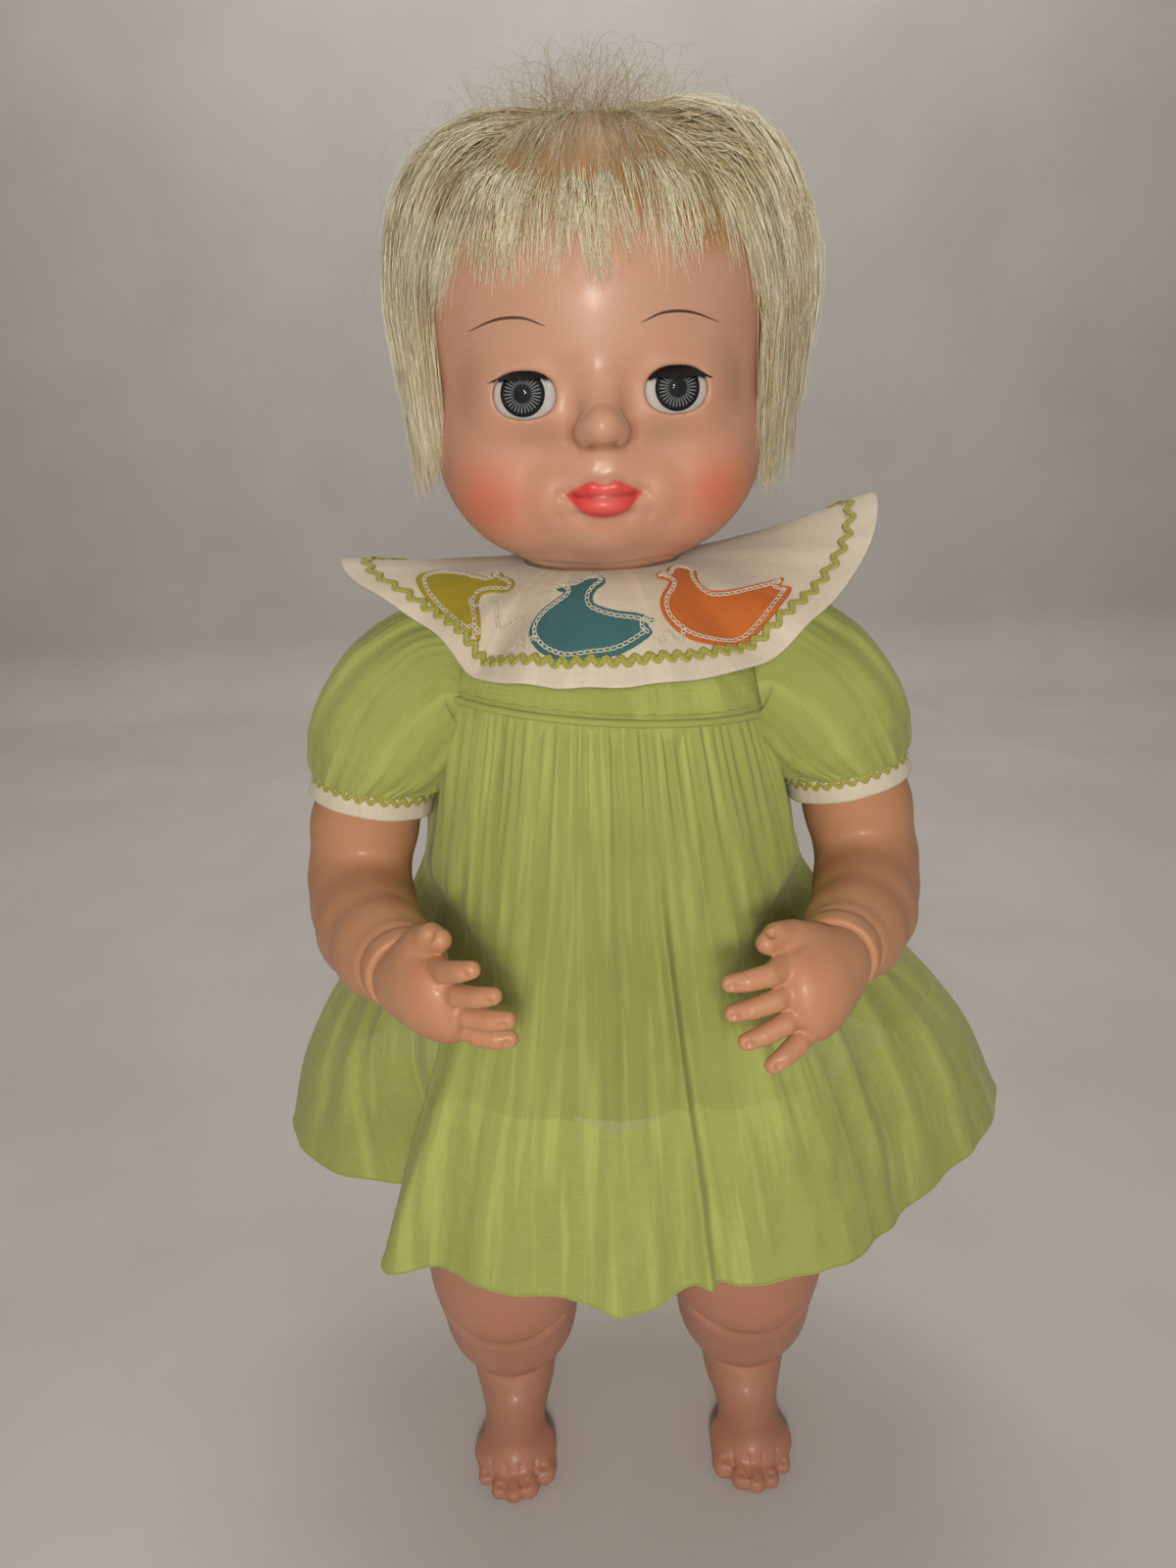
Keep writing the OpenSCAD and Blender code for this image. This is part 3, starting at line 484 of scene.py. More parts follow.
def sculpt_head():
    c = Clay((0, -76, 388), (68, 76, 553), 0.72)
    c.ball((0, 6, 491), (59.5, 63, 58), 1)
    c.ball((0, -9, 452), (50.5, 50, 36), 26)
    c.ball((0, -14, 497), (49, 44, 42), 18)
    c.ball((32.5, -21, 444), (18.8, 28, 20), 14)
    c.ball((25, -33, 436.5), (19, 21, 17), 12)
    c.ball((18.5, -30, 428.0), (17.0, 20, 12.5), 12)
    c.ball((0, -43.5, 425), (14.0, 14, 10.0), 10)
    c.ball((0, -18, 417.5), (27, 26, 10), 10)
    c.chain([(0, -2, 380), (0, -2, 412)], 23.3, 7)
    # muzzle and the swelling of the lids over the eyeball
    c.ball((0, -47, 438), (18, 14.5, 14), 11)
    c.ball(EYE + (0, 0.4, 0), (15.2, 14.2, 14.2), 9)
    # the hollow between the eye and the cheek, and beside the bridge of the nose
    c.ball((20, -66, 451), (9, 5.5, 4), 12, cut=True)
    c.ball((10.5, -66, 466), (3.2, 5.5, 6), 8, cut=True)
    # nose
    c.chain([(0, -52, 474), (0, -58, 464), (0, -63.5, 457.5)], [3.5, 4.2, 5.0], 7)
    c.ball((0, -64.4, 456.2), (5.9, 5.7, 5.2), 3.5)
    c.ball((4.7, -60.8, 454.8), (3.6, 4.6, 3.7), 3.6)
    c.chain([(7.6, -62.3, 459.6), (10.2, -59.8, 456.0), (10.3, -58.6, 451.8), (8.4, -60.0, 449.3)],
            [0.2, 0.5, 0.6, 0.3], 2.4, cut=True)
    c.chain([(2.4, -67.5, 451.0), (3.6, -67.0, 450.6), (4.9, -65.5, 451.6)], [0.9, 1.05, 0.6], 1.0, cut=True)
    c.chain([(0, -65.4, 448.0), (0, -65.4, 443.0)], [0.9, 1.3], 4.5, cut=True)
    # lips, the line between them, and the folds at their corners
    c.chain([(0, -61.9, 438.1), (3.4, -61.8, 438.6), (7.4, -59.5, 437.3), (9.9, -57.6, 436.4)],
            [2.1, 2.5, 1.6, 0.8], 2.4)
    c.ball((0, -60.6, 432.9), (8.0, 4.1, 3.9), 2.6)
    c.chain([(0, -65.4, 436.6), (3.2, -65.0, 436.1), (6.8, -62.8, 436.3), (10.0, -59.9, 436.0)],
            [0.55, 0.55, 0.5, 0.4], 1.1, cut=True)
    c.chain([(11.2, -60.0, 436.6), (14.0, -58.0, 436.4), (15.2, -57.2, 433.6), (15.0, -57.0, 430.6)],
            [0.1, 0.35, 0.35, 0.1], 4.6, cut=True)
    c.ball((17.2, -52.0, 435.5), (4.2, 5.2, 6.0), 6)
    c.chain([(0, -63.6, 427.2), (4.5, -62.6, 427.6), (8.2, -60.4, 429.2)], [1.6, 1.4, 0.7], 4.0, cut=True)
    # ear
    c.ball((59.5, 7, 461), (4.5, 8.5, 12.5), 3)
    c.ball((58.3, 3.5, 449.5), (4.4, 4.6, 5.4), 3)
    c.chain([(64.8, 1.5, 468), (65.0, 8, 470.5), (65.0, 12.5, 465), (64.6, 11.5, 456)], 1.3, 1.2, cut=True)
    c.ball((65, 3.8, 459.5), (3.2, 3.6, 5.6), 1.6, cut=True)
    # the fold below the chin
    c.chain([(0, -46.0, 409.6), (15, -42.0, 410.6), (28, -30.0, 412.5), (35, -15, 414.5)], 0.8, 3.5,
            cut=True)
    # eye openings: the lid keeps a rounded edge all round the ball
    where, x, y, z = c.part((10, -80, 455), (38, -40, 478))
    opening = np.maximum(ellipse_tube(x, z, EYE, OPEN_W, OPEN_H), y + 44)
    c.d[where] = -join(-c.d[where], opening + 0 * y, 1.3)
    c.ball(EYE, EYE_R + 0.35, 0.1, cut=True)
    return c.mesh(mirrored=True)


def lip_mask(x, z):
    """1 on the painted lips, 0 outside, with a soft edge."""
    a = np.abs(x)
    top = curve(a, [0, 1.6, 3.6, 6.8, 9.8, 11.8], [439.4, 440.0, 440.7, 439.5, 437.8, 436.6])
    low = curve(a, [0, 3.0, 6.2, 9.0, 10.8, 11.8], [429.2, 429.5, 430.8, 433.2, 435.2, 436.6])
    return between(np.minimum(top - z, z - low), -0.25, 0.45) * between(12.2 - a, 0, 0.6)


def paint_head(p):
    x, y, z = p.T
    skin, shade = vec(*SKIN), vec(*SKIN_SHADE)
    front = between(-y, 20, 40)
    colour = np.tile(skin, (len(p), 1))

    def lay(share, tone):
        nonlocal colour
        colour = colour + np.clip(share, 0, 1)[:, None] * (np.asarray(tone, float) - colour)

    a = np.abs(x)
    lay(0.30 * between(z, 500, 455), (0.60, 0.285, 0.175))
    blush = np.exp(-(((a - 37) / 11.5) ** 2 + ((z - 434) / 10.5) ** 2) ** 1.15) * front
    lay(0.80 * blush, (0.62, 0.130, 0.055))
    halo = np.exp(-(((a - 35) / 20) ** 2 + ((z - 436) / 17) ** 2)) * front
    lay(0.34 * halo, (0.64, 0.230, 0.120))
    # painted shade: a grey-brown shadow band under each eye
    lay(0.55 * np.exp(-((a - 20) / 13) ** 2 - ((z - 453.5) / 4.5) ** 2) * front, (0.36, 0.185, 0.115))
    lay(0.30 * np.exp(-((a - 21) / 12) ** 2 - ((z - 477) / 4) ** 2) * front, (0.52, 0.235, 0.150))
    # painted shade: darker in the creases beside the nose, in the nostrils and in the crease under the lower
    # lip
    lay(0.55 * np.exp(-((a - 10.2) / 1.2) ** 2 - ((z - 454) / 4.0) ** 2) * front, (0.40, 0.130, 0.060))
    lay(0.75 * np.exp(-((a - 3.6) / 1.5) ** 2 - ((z - 450.9) / 0.9) ** 2) * front, (0.22, 0.050, 0.020))
    lay(0.35 * np.exp(-(z - 426.6) ** 2 / 3 - (a / 9) ** 4) * front, (0.50, 0.170, 0.090))
    neck = between(z, 407, 403)
    lay(0.75 * neck, (0.62, 0.270, 0.190))
    lips = lip_mask(x, z) * between(-y, 52, 54)
    lay(lips, (0.710, 0.055, 0.048))
    lay(lips * 0.75 * np.exp(-((z - MOUTH_Z) / 0.55) ** 2), (0.300, 0.010, 0.010))
    lay(lips * 0.25 * np.exp(-((z - 433.2) / 2.0) ** 2 - (a / 6) ** 2), (0.86, 0.16, 0.13))
    # the painted scalp under the rooted hair
    crown = between(np.hypot(x / 60, (y - 8) / 62), 1.1, 0.2)
    edge = z + 9 * np.exp(-((a - 34) / 16) ** 2) * between(-y, 0, 20) - 40 * between(y, -20, 30)
    scalp = between(edge, 508, 522)
    side = between(a, 50, 54) * between(y, -36, -26) * between(z, 440, 452)
    back = between(y, 0, 14) * between(z, 428, 436)
    lay(np.maximum.reduce([scalp, 0.9 * side, back]), (0.400, 0.205, 0.055))
    # painted shade: the scalp is darker towards the top of the head
    lay(0.5 * scalp * crown, (0.330, 0.150, 0.030))
    return colour


def lids_of_head(points):
    """Grey shadow inside the rim of the eye openings."""
    d = np.hypot((np.abs(points[:, 0]) - EYE[0]) / OPEN_W, (points[:, 2] - EYE[2]) / OPEN_H)
    return between(d, 1.06, 0.98) * (points[:, 1] < -40)


head_points, head_faces = sculpt_head()
head_points = relax(head_points, head_faces, 2, 0.5)
head_colour = paint_head(head_points)
rim = lids_of_head(head_points)[:, None]
head_colour = head_colour * (1 - rim) + rim * vec(0.62, 0.40, 0.30)
head = piece("head_vinyl", head_points, head_faces, head_vinyl, None, ("head_shell",), "head_vinyl",
             tint=head_colour)
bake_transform(head)
spread = np.exp(-((np.abs(head_points[:, 0]) - 11) / 5.5) ** 2 - ((head_points[:, 2] - 436) / 6.5) ** 2)
spread = spread * between(-head_points[:, 1], 46, 54)

head_tree = BVHTree.FromPolygons(head_points.tolist(), head_faces.tolist())


def on_head(x, z, lift=0.0):
    """The point of the face in front of (x, z), in mm."""
    hit = head_tree.ray_cast(Vector((x, -120, z)), Vector((0, 1, 0)))
    return np.array(hit[0] + lift * hit[1])


def brow(side):
    t = np.linspace(0, 1, 26)
    x = side * curve(t, [0, 0.35, 0.7, 1], [14.0, 21.0, 29.5, 38.0]) - 1.5
    z = curve(t, [0, 0.35, 0.7, 1], [485.0, 487.6, 487.4, 484.6])
    path = np.array([on_head(a, b, 0.04) for a, b in zip(x, z)])
    width = 0.40 * np.sin(math.pi * np.clip(t * 0.94 + 0.03, 0, 1)) ** 0.8
    return tubes(path[None], width[None], 6, 0.16, (0, -1, 0))


brow_paint = moulded("brow_paint", (0.10, 0.042, 0.018), 0.4, "rest")
piece("painted_brows", *merge([brow(1), brow(-1)]), brow_paint, "head", (), "head_vinyl")


# ---- eyes --------------------------------------------------------------------------------------

def eye_white():
    p = Paint("eye_white", "rest", Roughness=0.18, IOR=1.5, Coat_Weight=0.6, Coat_Roughness=0.05,
              Subsurface_Weight=0.1, Subsurface_Scale=0.002)
    tone = p.mix(p.band(p.noise(0.25, 3), 0.4, 0.7), (0.74, 0.735, 0.70), (0.66, 0.65, 0.62))
    return p.set(Base_Color=tone, Normal=p.bump(p.noise(1.5, 2), 0.04, 0.05))


def iris_paint():
    """Spokes and rings, from the piece's own polar coordinates: u across, v up, in mm from the middle."""
    p = Paint("iris_paint", "rest", Roughness=0.55, IOR=1.4, Specular_IOR_Level=0.2)
    u, v, _ = p.split(p.attribute("thread", "Vector"))
    angle = p.math("ARCTAN2", v, u)
    radius = p.math("SQRT", p.math("ADD", p.math("MULTIPLY", u, u), p.math("MULTIPLY", v, v)))
    wobble = p.math("MULTIPLY", p.noise(0.6, 2), 2.2)
    spokes = p.math("SINE", p.math("ADD", p.math("MULTIPLY", angle, 30.0), wobble))
    spokes = p.band(spokes, 0.35, 0.90)
    reach = p.math("MULTIPLY", p.band(radius, 2.6, 3.1), p.band(radius, 5.9, 5.2))
    inner = p.math("MULTIPLY", p.band(radius, 2.9, 3.3), p.band(radius, 4.1, 3.7))
    iris = p.mix(p.band(radius, 2.6, 6.4), (0.006, 0.007, 0.007), (0.010, 0.012, 0.012))
    iris = p.mix(p.math("MULTIPLY", p.math("MULTIPLY", spokes, reach), 0.90), iris, (0.300, 0.330, 0.320))
    iris = p.mix(p.math("MULTIPLY", inner, 0.25), iris, (0.10, 0.11, 0.105))
    iris = p.mix(p.band(radius, 5.7, 6.1), iris, (0.012, 0.012, 0.013))
    iris = p.mix(p.band(radius, 2.45, 2.2), iris, (0.006, 0.006, 0.007))
    return p.set(Base_Color=iris, Normal=p.bump(p.math("MULTIPLY", spokes, reach), 0.15, 0.1))


def clear_dome():
    p = Paint("clear_dome", "rest", Roughness=0.02, IOR=1.47, Specular_IOR_Level=1.0, Alpha=0.06,
              Coat_Weight=1.0, Coat_Roughness=0.02)
    tone = p.mix(p.noise(0.4, 2), (0.02, 0.02, 0.022), (0.03, 0.03, 0.032))
    return p.set(Base_Color=tone)


def ball_patch(centre, radius, out, up, low_angle, high_angle, rings, turns=96):
    """A band of a ball round the direction out, from one angle off it to another, in degrees."""
    out, up = unit(out), unit(up)
    side = np.cross(out, up)
    off = np.radians(np.linspace(low_angle, high_angle, rings))
    turn = 2 * math.pi * np.arange(turns) / turns
    t, o = np.meshgrid(turn, off, indexing="ij")
    flat_u, flat_v = np.sin(o) * np.cos(t), np.sin(o) * np.sin(t)
    points = (np.asarray(centre) + radius * (np.cos(o)[..., None] * out + flat_u[..., None] * -side
                                              + flat_v[..., None] * up)).reshape(-1, 3)
    thread = np.stack([flat_u * radius, flat_v * radius, 0 * flat_u], -1).reshape(-1, 3)
    return points, grid_faces(turns, rings, closed=True), thread


eye_white_paint, iris_material, dome_material = eye_white(), iris_paint(), clear_dome()
lid_vinyl = vinyl("lid_vinyl", (0.60, 0.40, 0.31), (0.46, 0.26, 0.18))
lash_fibre = yarn("lash_fibre", (0.010, 0.006, 0.005), (0.003, 0.002, 0.002), 2.0, 0.1)
IRIS_R = 6.9


def make_eye(name, side, gaze, rock):
    """One sleep eye: a ball with a painted iris under a clear dome, a lid and a brush of lashes."""
    body = "eye_" + name
    centre = EYE * vec(side, 1, 1)
    out = unit(vec(side * gaze, -1, 0.03))
    up = unit(np.cross(np.cross(out, (0, 0, 1)), out))
    rim_angle = math.degrees(math.asin(IRIS_R / (EYE_R - 0.7)))
    white, faces, _ = ball_patch(centre, EYE_R - 0.7, out, up, rim_angle - 0.4, 179.5, 60)
    piece("sclera_" + name, white, faces, eye_white_paint, body, ("eyeball_" + name,), "eye_white")
    disc, faces, thread = ball_patch(centre, EYE_R - 0.75, out, up, 0.05, rim_angle + 0.3, 40, 144)
    depth = 0.9 * between(np.hypot(thread[:, 0], thread[:, 1]), IRIS_R, 1.5)
    piece("iris_" + name, disc - depth[:, None] * out, faces, iris_material, body, ("iris_" + name,),
          "iris_plastic", thread=thread)
    dome, faces, thread = ball_patch(centre, EYE_R - 0.62, out, up, 0.05, rim_angle + 5, 20)
    piece("dome_" + name, dome, faces, dome_material, body, (), "iris_plastic", thread=thread)
    # the lid covers the ball above its edge, which lies behind the lashes
    edge = math.radians(34 - rock)
    lid = []
    for lift, flip in ((0.0, False), (-0.5, True)):
        a = np.linspace(-1, 1, 60) * math.radians(88)
        b = edge + (math.pi * 0.80 - edge) * np.linspace(0, 1, 30)
        aa, bb = np.meshgrid(a, b, indexing="ij")
        across = np.sin(aa)
        ahead = np.cos(aa)
        p = np.stack([across, -ahead * np.cos(bb), ahead * np.sin(bb)], -1).reshape(-1, 3)
        f = grid_faces(60, 30)
        lid.append((centre + (EYE_R + 0.02 + lift) * p, f[:, ::-1] if flip else f))
    edge_rows = np.arange(60) * 30
    points, faces = merge(lid)
    hem = np.stack([edge_rows[:-1], edge_rows[:-1] + 1800, edge_rows[1:] + 1800, edge_rows[1:]], -1)
    piece("lid_" + name, points, np.vstack([faces, hem]), lid_vinyl, body, ("eyelid_" + name,),
          "lid_plastic")
    # lashes: a close brush that curves out and down from the lid's edge
    n = 460
    a = np.sort(rng.uniform(-1, 1, n)) * math.radians(51)
    reach = (4.3 + 1.1 * rng.random(n)) * (1 - 0.22 * np.abs(a / a.max()) ** 2)
    start = edge + math.radians(1.5) * rng.random(n)
    s = np.linspace(0, 1, 6)[None, :]
    tilt = (a + rng.normal(0, 0.035, n))[:, None]
    lift = EYE_R + 0.15 + reach[:, None] * (0.62 * s)
    drop = start[:, None] - reach[:, None] / EYE_R * (0.80 * s + 0.05 * s * s)
    paths = np.stack([np.sin(a[:, None] + (tilt - a[:, None]) * s) * lift,
                      -np.cos(tilt) * np.cos(drop) * lift, np.cos(tilt) * np.sin(drop) * lift], -1)
    radii = 0.33 * (1 - 0.66 * s) * (0.8 + 0.4 * rng.random((n, 1)))
    brush = tubes(centre + paths, radii, 4, 1.0, (1, 0, 0))
    b = np.linspace(-1, 1, 40) * math.radians(50)
    strip = centre + (EYE_R + 0.16) * np.stack([np.sin(b), -np.cos(b) * math.cos(edge),
                                                np.cos(b) * math.sin(edge)], -1)
    swell = 0.42 * np.sin(math.pi * (0.04 + 0.92 * np.linspace(0, 1, 40)))[None] ** 0.4
    band = tubes(strip[None], swell, 6, 0.6, (0, -1, 0))
    piece("lash_brush_" + name, *merge([brush, band]), lash_fibre, body, ("lashes_" + name,), "lash_fibre")


make_eye("left", 1, 0.05, 3.0)
make_eye("right", -1, 0.06, -1.0)


# ---- hair --------------------------------------------------------------------------------------

def hair_paint():
    p = Paint("hair_fibre", "rest", Roughness=0.26, IOR=1.55, Specular_IOR_Level=0.75, Coat_Weight=0.25,
              Coat_Roughness=0.16)
    tone = p.attribute("tone")
    base = p.mix(tone, (0.400, 0.270, 0.070), (0.980, 0.930, 0.690))
    base = p.mix(p.band(p.noise(0.7, 3), 0.50, 0.72, 0, 0.5), base, (0.98, 0.96, 0.86))
    base = p.mix(p.band(p.noise(0.06, 2), 0.40, 0.62, 0, 0.30), base, (0.62, 0.50, 0.22))
    return p.set(Base_Color=base, Roughness=p.band(p.noise(1.6, 2), 0.3, 0.7, 0.18, 0.38))


CROWN = vec(0, 5, 491)
CAP = 58.8


def strand_paths(phi, theta, drift, end_z, volume, wave, steps=9):
    """Combed strands. phi is the way a strand lies round the head from the front, theta how far its root
    is down from the top, both in degrees; volume is how far it stands off the scalp, in mm."""
    n = len(phi)
    s = np.linspace(0, 1, steps)[None, :]
    quarter = 61.0 * math.pi / 2
    drop = np.maximum(CROWN[2] - end_z, 0)
    end_u = np.where(end_z < CROWN[2], quarter + drop,
                     61.0 * np.arccos(np.clip((end_z - CROWN[2]) / CAP, -1, 1)))
    start_u = 61.0 * np.radians(theta)
    end_u = np.maximum(end_u, start_u + 7)
    u = start_u[:, None] + (end_u - start_u)[:, None] * s
    t = np.minimum(u / 61.0, math.pi / 2)
    fall = np.maximum(u - quarter, 0)
    way = np.radians(phi[:, None] + drift[:, None] * s ** 1.4)
    depth = np.where(np.cos(way) > 0, 67.0, 64.6)
    across = 1 / np.sqrt((np.sin(way) / 61.0) ** 2 + (np.cos(way) / depth) ** 2)
    square = 1 + 0.45 * np.sin(2 * t) ** 2 * np.abs(np.sin(way)) ** 2
    rise = 0.5 + volume[:, None] * square * smooth(t / 1.5 + 0.35) * smooth(s * 2.4 + 0.10)
    rise = rise - np.minimum(0.10 * fall * (0.3 + volume[:, None] / 14), 4.5)
    wobble = wave[:, None] * np.sin(s * 5.0 + 6.28 * rng.random((n, 1)))
    out = across * np.sin(t) + rise * np.sin(t)
    x = out * np.sin(way + wobble / 60)
    y = -out * np.cos(way + wobble / 60)
    z = CAP * np.cos(t) + rise * np.cos(t) - fall
    return np.stack([x, y, z], -1) + CROWN


def locks(count, each, phi, theta, end_z, volume, spread=4.0, drift=(-3, 3), wave=0.5, radius=0.17,
          tone=0.62):
    """Locks of strands: each pair is the range that a lock's middle is drawn from."""
    def draw(pair):
        return np.repeat(rng.uniform(*pair, count), each)
    n = count * each
    within = rng.normal(0, spread, n)
    a = draw(phi) + within
    t = np.clip(draw(theta) + rng.normal(0, spread, n), 1, 97)
    end = draw(end_z) + rng.normal(0, 3.4, n) - rng.exponential(1.5, n) * (np.abs(a) > 60)
    vol = np.clip(draw(volume) + rng.normal(0, 0.9, n), 0.1, 17)
    swing = draw(drift) + rng.normal(0, 1.4, n) - 0.5 * within
    paths = strand_paths(a, t, swing, end, vol, np.abs(rng.normal(wave, wave / 2, n)))
    size = radius * (0.8 + 0.4 * rng.random((n, 1))) * np.linspace(1, 0.35, paths.shape[1])[None, :]
    shade = np.clip(np.repeat(rng.normal(tone, 0.20, count), each) + rng.normal(0, 0.26, n), 0.02, 1)
    return paths, size, shade


def hair_piece(name, groups, replaces=()):
    parts, tones = [], []
    for paths, size, tone in groups:
        parts.append(tubes(paths, size, 3, 1.0, (0.31, 0.27, 0.91)))
        steps = paths.shape[1]
        along = np.linspace(0, 1, steps)
        lift = 0.16 * smooth((along - 0.55) / 0.45) - 0.34 * (1 - smooth(along * 3.0))
        tones.append(np.repeat(np.clip(tone[:, None] + lift[None, :], 0, 1).ravel(), 3))
    points, faces = merge(parts)
    return piece(name, points, faces, hair_material, "head", replaces, "hair_fibre",
                 tone=np.concatenate(tones))


hair_material = hair_paint()
for side, label in ((1, "left"), (-1, "right")):
    thick = 1.0 if side > 0 else 0.62

    def way(low, high, side=side):
        return (side * low, side * high) if side > 0 else (-high, -low)
    low_end = 438 if side > 0 else 443
    hair_piece("hair_" + label, [
        # in front of the ear, in layers: the outer hair is cut shorter
        locks(40, 24, way(56, 72), (50, 88), (low_end, low_end + 8), (1.5, 6), 2.6, way(-2, 1)),
        locks(34, 24, way(58, 86), (36, 80), (low_end + 6, low_end + 24), (5 * thick, 10 * thick), 3.0,
              way(-3, 2)),
        locks(26, 24, way(60, 92), (24, 66), (462, 484), (9 * thick, 14 * thick), 3.4, way(-3, 2)),
        # over and behind the ear
        locks(42, 24, way(84, 128), (20, 92), (434, 462), (3 * thick, 13 * thick), 4.0, way(-3, 4)),
    ], ("hair",) if side > 0 else ())
    hair_piece("hair_swept_" + label, [
        # swept from the crown over the corner of the forehead
        locks(44, 24, way(46, 78), (14, 44), (480, 503), (4, 11 * thick + 2), 4.0, way(4, 16)),
        locks(16, 24, way(44, 60), (18, 38), (494, 509), (1.5, 5.5), 4.0, way(3, 12), 0.5, 0.17, 0.4),
        locks(34, 22, way(60, 104), (6, 40), (474, 500), (7 * thick, 13 * thick), 5.0, way(-4, 8)),
        locks(16, 20, way(40, 60), (44, 62), (492, 502), (1.2, 4.0), 2.6, way(2, 8), 0.4, 0.16),
    ])
hair_piece("hair_back", [
    locks(66, 24, (118, 242), (8, 60), (452, 480), (5, 12), 5.0, (-4, 4)),
    locks(84, 24, (122, 238), (40, 97), (424, 445), (2, 8), 5.0, (-4, 4)),
])
hair_piece("hair_fringe", [
    # thin hair over the painted scalp, down to an uneven fringe
    locks(22, 16, (-42, 40), (8, 34), (512, 526), (0.8, 2.8), 5.0, (-6, 6), 0.6, 0.11, 0.05),
    locks(14, 16, (-46, 40), (36, 52), (506, 514), (0.8, 3.0), 3.0, (-5, 5), 0.5, 0.12, 0.40),
    locks(18, 20, (-30, 6), (47, 57), (497, 507), (1.2, 4.0), 2.4, (-4, 4), 0.4, 0.15, 0.90),
    locks(8, 18, (10, 34), (46, 56), (500, 509), (1.0, 3.6), 2.2, (-3, 3), 0.4, 0.15, 0.80),
    locks(4, 20, (34, 46), (46, 56), (500, 506), (1.2, 3.4), 1.4, (-1, 3), 0.4, 0.16, 0.70),
    locks(12, 20, (-48, -30), (42, 54), (503, 511), (1.0, 3.6), 2.0, (-5, 0), 0.4, 0.16, 0.70),
])
hair_piece("hair_top", [
    locks(46, 20, (76, 284), (4, 26), (512, 534), (3, 9.5), 8.0, (-22, 22), 1.2, 0.15, 0.35),
    locks(40, 22, (62, 298), (4, 40), (496, 520), (4, 10), 9.0, (-12, 12), 0.9, 0.17, 0.55),
])


def flyaways(count, low, high, longest, painted_shade_tone):
    """Stray, bent hairs that stand off the head."""
    phi = rng.uniform(0, 2 * math.pi, count)
    theta = np.radians(rng.triangular(low, low + 8, high, count))
    n = np.stack([np.sin(theta) * np.sin(phi), -np.sin(theta) * np.cos(phi), np.cos(theta)], -1)
    ahead = (theta > 0.75) & (np.cos(phi) > 0.35)
    n[ahead] *= vec(1, -1, 1)
    root = CROWN + n * vec(61, 65, 58)
    s = np.linspace(0, 1, 14)[None, :, None]
    along = unit(np.cross(n, rng.normal(0, 1, (count, 3))))
    side = np.cross(n, along)
    reach = rng.gamma(2.6, 6.0, count).clip(5, longest)[:, None, None]
    top = np.minimum(rng.uniform(2, 20, count), np.where(theta < 0.9, 20, 11) + 0 * phi)[:, None, None]
    arc = np.sin(s * rng.uniform(1.3, 2.9, count)[:, None, None])
    curl = rng.normal(0, 1.8, count)[:, None, None]
    path = (root[:, None, :] + n[:, None, :] * (top * arc + 2.0) + along[:, None, :] * reach * s
            + side[:, None, :] * reach * 0.4 * np.sin(curl * 2 * s) * s)
    size = 0.075 * np.linspace(1, 0.4, 14)[None, :] * np.ones((count, 1))
    return path, size, np.clip(rng.normal(painted_shade_tone, 0.12, count), 0, 1)


# painted shade: the flyaways get low, dark tones, as these thin hairs show dark against the light
hair_piece("hair_flyaways", [flyaways(420, 2, 44, 40, 0.10), flyaways(420, 24, 78, 34, 0.15),
                             flyaways(130, 60, 96, 24, 0.4)])


# ---- arms and hands ----------------------------------------------------------------------------

SHOULDER = vec(64, 0, 365)
CUFF = vec(89, -8, 330)
ELBOW = vec(100, -10, 285)
WRIST = vec(70, -90, 289)
FOREARM = unit(WRIST - ELBOW)


def sculpt_arm():
    c = Clay((40, -94, 262), (126, 24, 390), 0.85)
    c.ball(SHOULDER, 20.8, 1)
    c.chain([SHOULDER + (4, -1, -4), SHOULDER + (19, -3, -20), CUFF, CUFF + (6, 0, -20), ELBOW + (-1, 0, 4),
             ELBOW + (-5, -16, -1), ELBOW + (-10, -34, -2), ELBOW + (-18, -54, 0), WRIST - 6 * FOREARM],
            [15.5, 16.5, 18.4, 19.0, 18.0, 18.2, 17.6, 15.9, 12.9], 3, soft=7.0)
    c.chain([WRIST - 8 * FOREARM, WRIST - 0.6 * FOREARM], [12.6, 12.2], 5)
    # the dimple on the outside of the elbow
    c.chain([ELBOW + (16.5, 6, 0), ELBOW + (17.5, 7, 3)], 1.2, 6, cut=True)
    # a faint bracelet fold above the wrist
    ring = WRIST - 10.0 * FOREARM
    u = unit(np.cross(FOREARM, (0, 0, 1)))
    v = np.cross(u, FOREARM)
    turn = np.linspace(0.3, 2 * math.pi - 0.9, 15)
    c.chain([ring + 14.4 * (math.cos(a) * u + math.sin(a) * v) for a in turn], 0.15, 4.5, cut=True)
    where, x, y, z = c.part((40, -110, 250), (130, 24, 392))
    past = (x - WRIST[0]) * FOREARM[0] + (y - WRIST[1]) * FOREARM[1] + (z - WRIST[2]) * FOREARM[2] + 0.4
    c.d[where] = -join(-c.d[where], -past, 0.8)
    return c.mesh()


